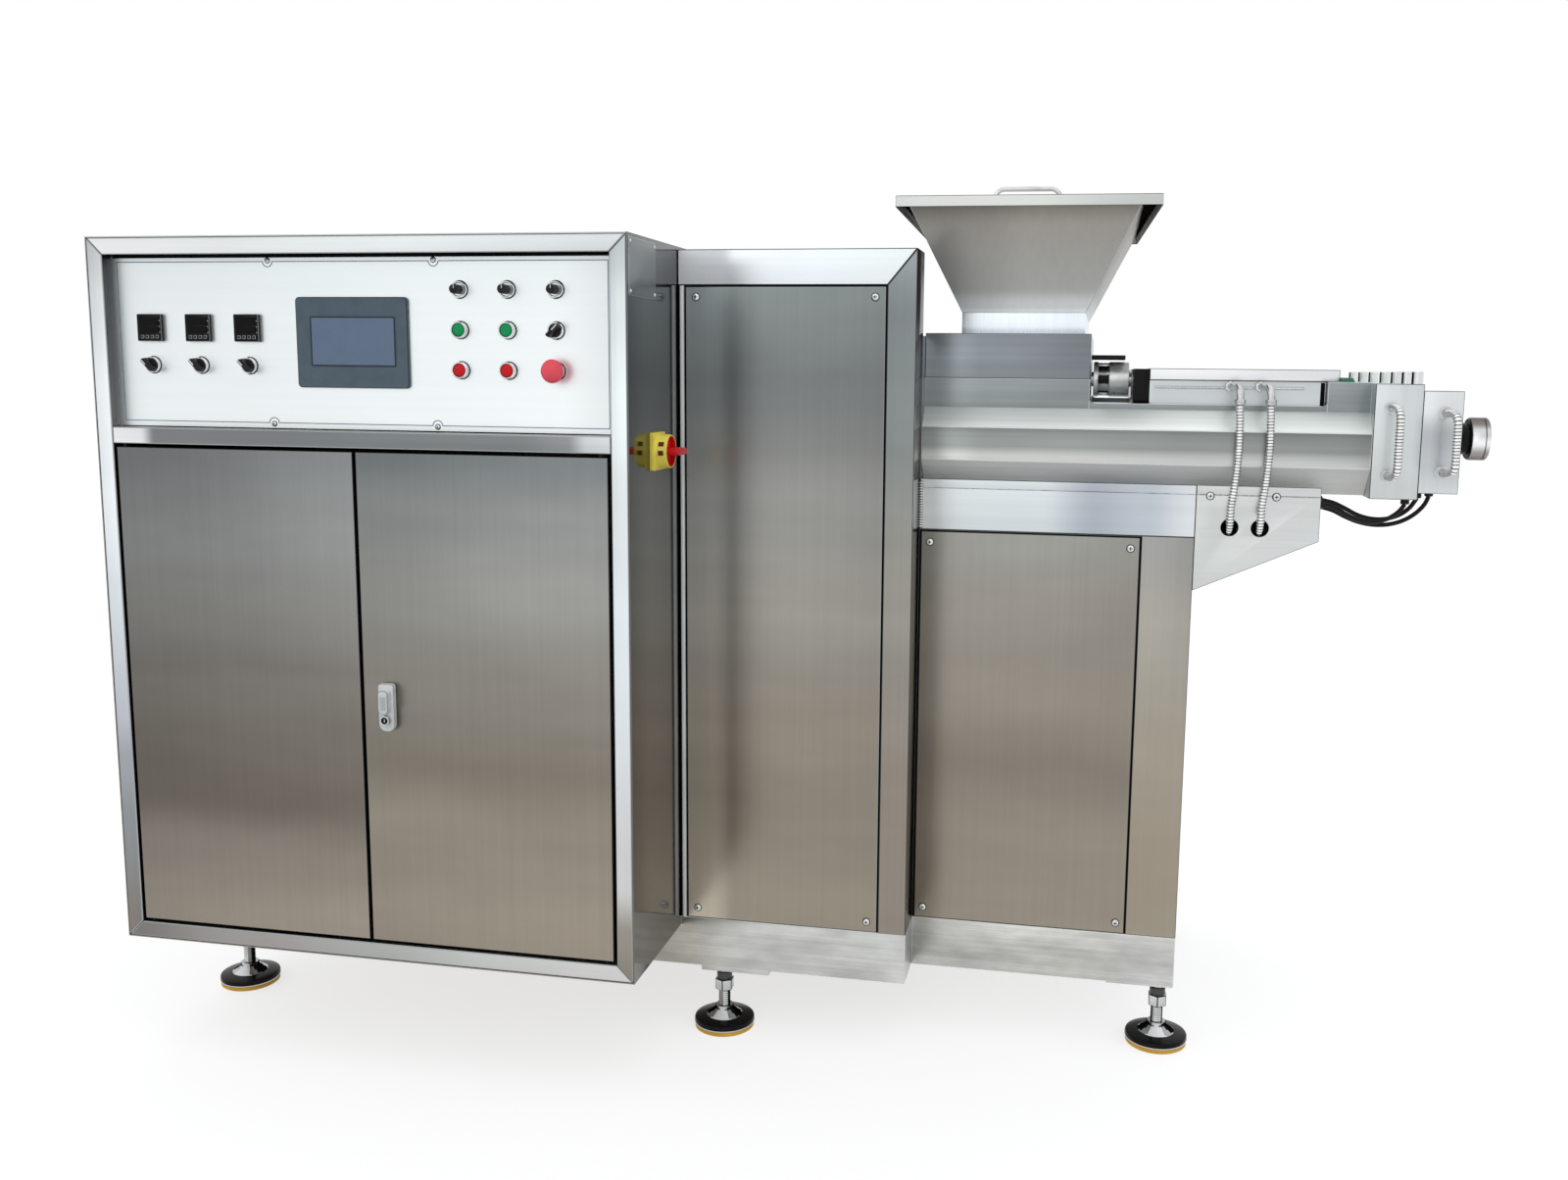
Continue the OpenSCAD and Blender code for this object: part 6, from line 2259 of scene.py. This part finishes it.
@dataclass
class OutletHead:
    """Head block, die blocks and nozzles.

    Attributes:
        left, right, high: Left and right face and top of the head block.
        end: Right face of the die blocks.
        nozzle_z: Height of the nozzles.
        die_ys: Fronts of the die blocks.
        die_wide: Width of a die block, from front to back.
    """

    left: float = 2234.0
    right: float = 2314.0
    end: float = 2380.0
    high: float = 1277.0
    nozzle_z: float = 1181.5
    die_ys: tuple[float, float] = (372.0, 908.0)
    die_wide: float = 140.0

    def build(self) -> None:
        """Models the head."""
        body = block("head_block_body", (self.left, 370, 1076), (self.right, 1050, self.high))
        hand_over(trim(body, Palette.head), "satin_steel", "head_block")
        SCREWS.spread("head_bolts", SCREWS.cap_bolt(19.0, 22.0),
                      [(self.right - 11, y, self.high) for y in (382, 465, 563, 670, 785, 900, 1015)])
        dies = [block("die", (self.right, y, 1087.5), (self.end, y + self.die_wide, 1265.5)) for y in self.die_ys]
        parts = [trim(die, Palette.die, 1.0) for die in dies]
        assemble("die_block_pair", parts, "satin_steel", "die_blocks")
        profile = ((16, 1), (16, 54), (19, 58), (31, 58), (36, 56.5), (38, 54), (38, 49.5), (37.2, 49), (37.2, 48),
                   (38, 47.5), (38, 29), (37, 26), (35, 24), (28, 24), (28, 0), (16, 0))
        noses = []
        for y in self.die_ys:
            place = (self.end, y + self.die_wide / 2, self.nozzle_z)
            nose = lathe("nozzle", profile, place, Axis.X, Palette.nozzle, 56, 30.0, True)
            # Painted shade: the nozzle's neck next to the die and a thin groove further out are black.
            noses.append(paint(nose, Palette.gloss_black, lambda place, _: (
                place.x < self.end + 25.5 or self.end + 48.2 < place.x < self.end + 48.8)))
        assemble("nozzle_pair", noses, "bright_metal", "nozzles")


@dataclass
class LineFittings:
    """Elbows and unions of the hoses, and glands of the cables.

    Attributes:
        drive_front: Front of the head drive, where the elbows start.
        elbow_z: Height of the elbows.
        elbow_angle: How far they point to the right, in degrees.
        elbow_bend: Radius of their bend.
        union_long: Length of the unions.
    """

    drive_front: float = 430.0
    elbow_z: float = 1269.0
    elbow_angle: float = 10.0
    elbow_bend: float = 22.0
    union_long: float = 14.0

    def elbow(self, x: float) -> list[Piece]:
        """Models one elbow on the head drive.

        Args:
            x: Where its hose hangs.

        Returns:
            Its pieces.
        """
        start = Vector((x - HOSE_LEAN, self.drive_front, self.elbow_z))
        aside, bend = math.radians(self.elbow_angle), self.elbow_bend
        ahead = Vector((math.sin(aside), -math.cos(aside), 0.0))
        reach = 70.0 / math.cos(aside) - bend
        path = [start + ahead * 2.0, start + ahead * (reach - 0.5)]
        for angle in (math.radians(10.0 * step) for step in range(1, 10)):
            drop = Vector((0, 0, bend * (1 - math.cos(angle))))
            path.append(start + ahead * (reach + bend * math.sin(angle)) - drop)
        path.append(path[-1] - Vector((0, 0, 4.0)))
        nut = rod("elbow nut", (start.x, self.drive_front - 12.0, self.elbow_z), Axis.Y, 20.0, 12.0, 6)
        collar = ((0, 1247), (9.0, 1247), (10, 1246), (10, 1243), (9.2, 1242), (10, 1241), (10, 1238), (9, 1237),
                  (0, 1237))
        return [tube("elbow pipe", [spot(place) for place in path], 14.0, Palette.bright, 5, 50.0),
                dress(soften(nut, 0.8), Palette.bright),
                lathe("hose collar", collar, (path[-1].x, path[-1].y, 0), Axis.Z, Palette.bright, 28)]

    def union(self, x: float, y: float, z: float) -> Piece:
        """Models one union of a short hose.

        Args:
            x: Its place along the machine.
            y: Its front end.
            z: Its height.

        Returns:
            The union.
        """
        long = self.union_long
        profile = ((0, 0), (9.6, 0), (10.6, 0.8), (10.6, long * 0.45), (9.0, long * 0.5), (11.4, long * 0.56),
                   (11.4, long), (0, long))
        return lathe("hose union", profile, (x, y, z), Axis.Y, Palette.bright, 24, 30.0)

    @staticmethod
    def gland(start: Point, axis: Axis, length: float) -> Piece:
        """Models one cable gland from its lowest end along an axis."""
        profile = ((0, 0), (6.2, 0), (7.5, 1.2), (7.5, length * 0.45), (6.6, length * 0.5), (7.5, length * 0.55),
                   (7.5, length), (0, length))
        return lathe("cable gland", profile, start, axis, Palette.black, 24, 30.0)

    def build(self) -> None:
        """Models all fittings."""
        parts = [piece for x in HOSE_XS for piece in self.elbow(x)]
        for loop in LOOPS:
            parts.extend(self.union(loop.x, loop.y, LOOP_Z + side * loop.radius) for side in (-1, 1))
        assemble("hose_fitting_set", parts, "bright_metal", "hose_fittings")
        glands = []
        for run in CABLES:
            low, high = (CABLE_Z + drop for drop in (run.sag[0][1], run.sag[-1][1]))
            glands.append(self.gland((BRACKET_END, run.y, low), Axis.X, GLAND_LONG))
            glands.append(self.gland((run.end, run.y, high), Axis.Z, run.under - high))
        assemble("cable_gland_set", glands, "black_plastic", "cable_glands")


def main() -> None:
    """Builds the studio and the machine."""
    studio = Studio()
    studio.camera()
    HosesAndCables().build()
    studio.build()
    for part in (
        ControlCabinet(), ControlPanel(), CabinetDoors(), MainSwitch(), DriveColumn(), BaseFrame(), LevellingFeet(),
        Barrels(), FeedHopper(), HeadDrive(), OutletHead(), LineFittings(),
    ):
        part.build()


if __name__ == "__main__":
    main()
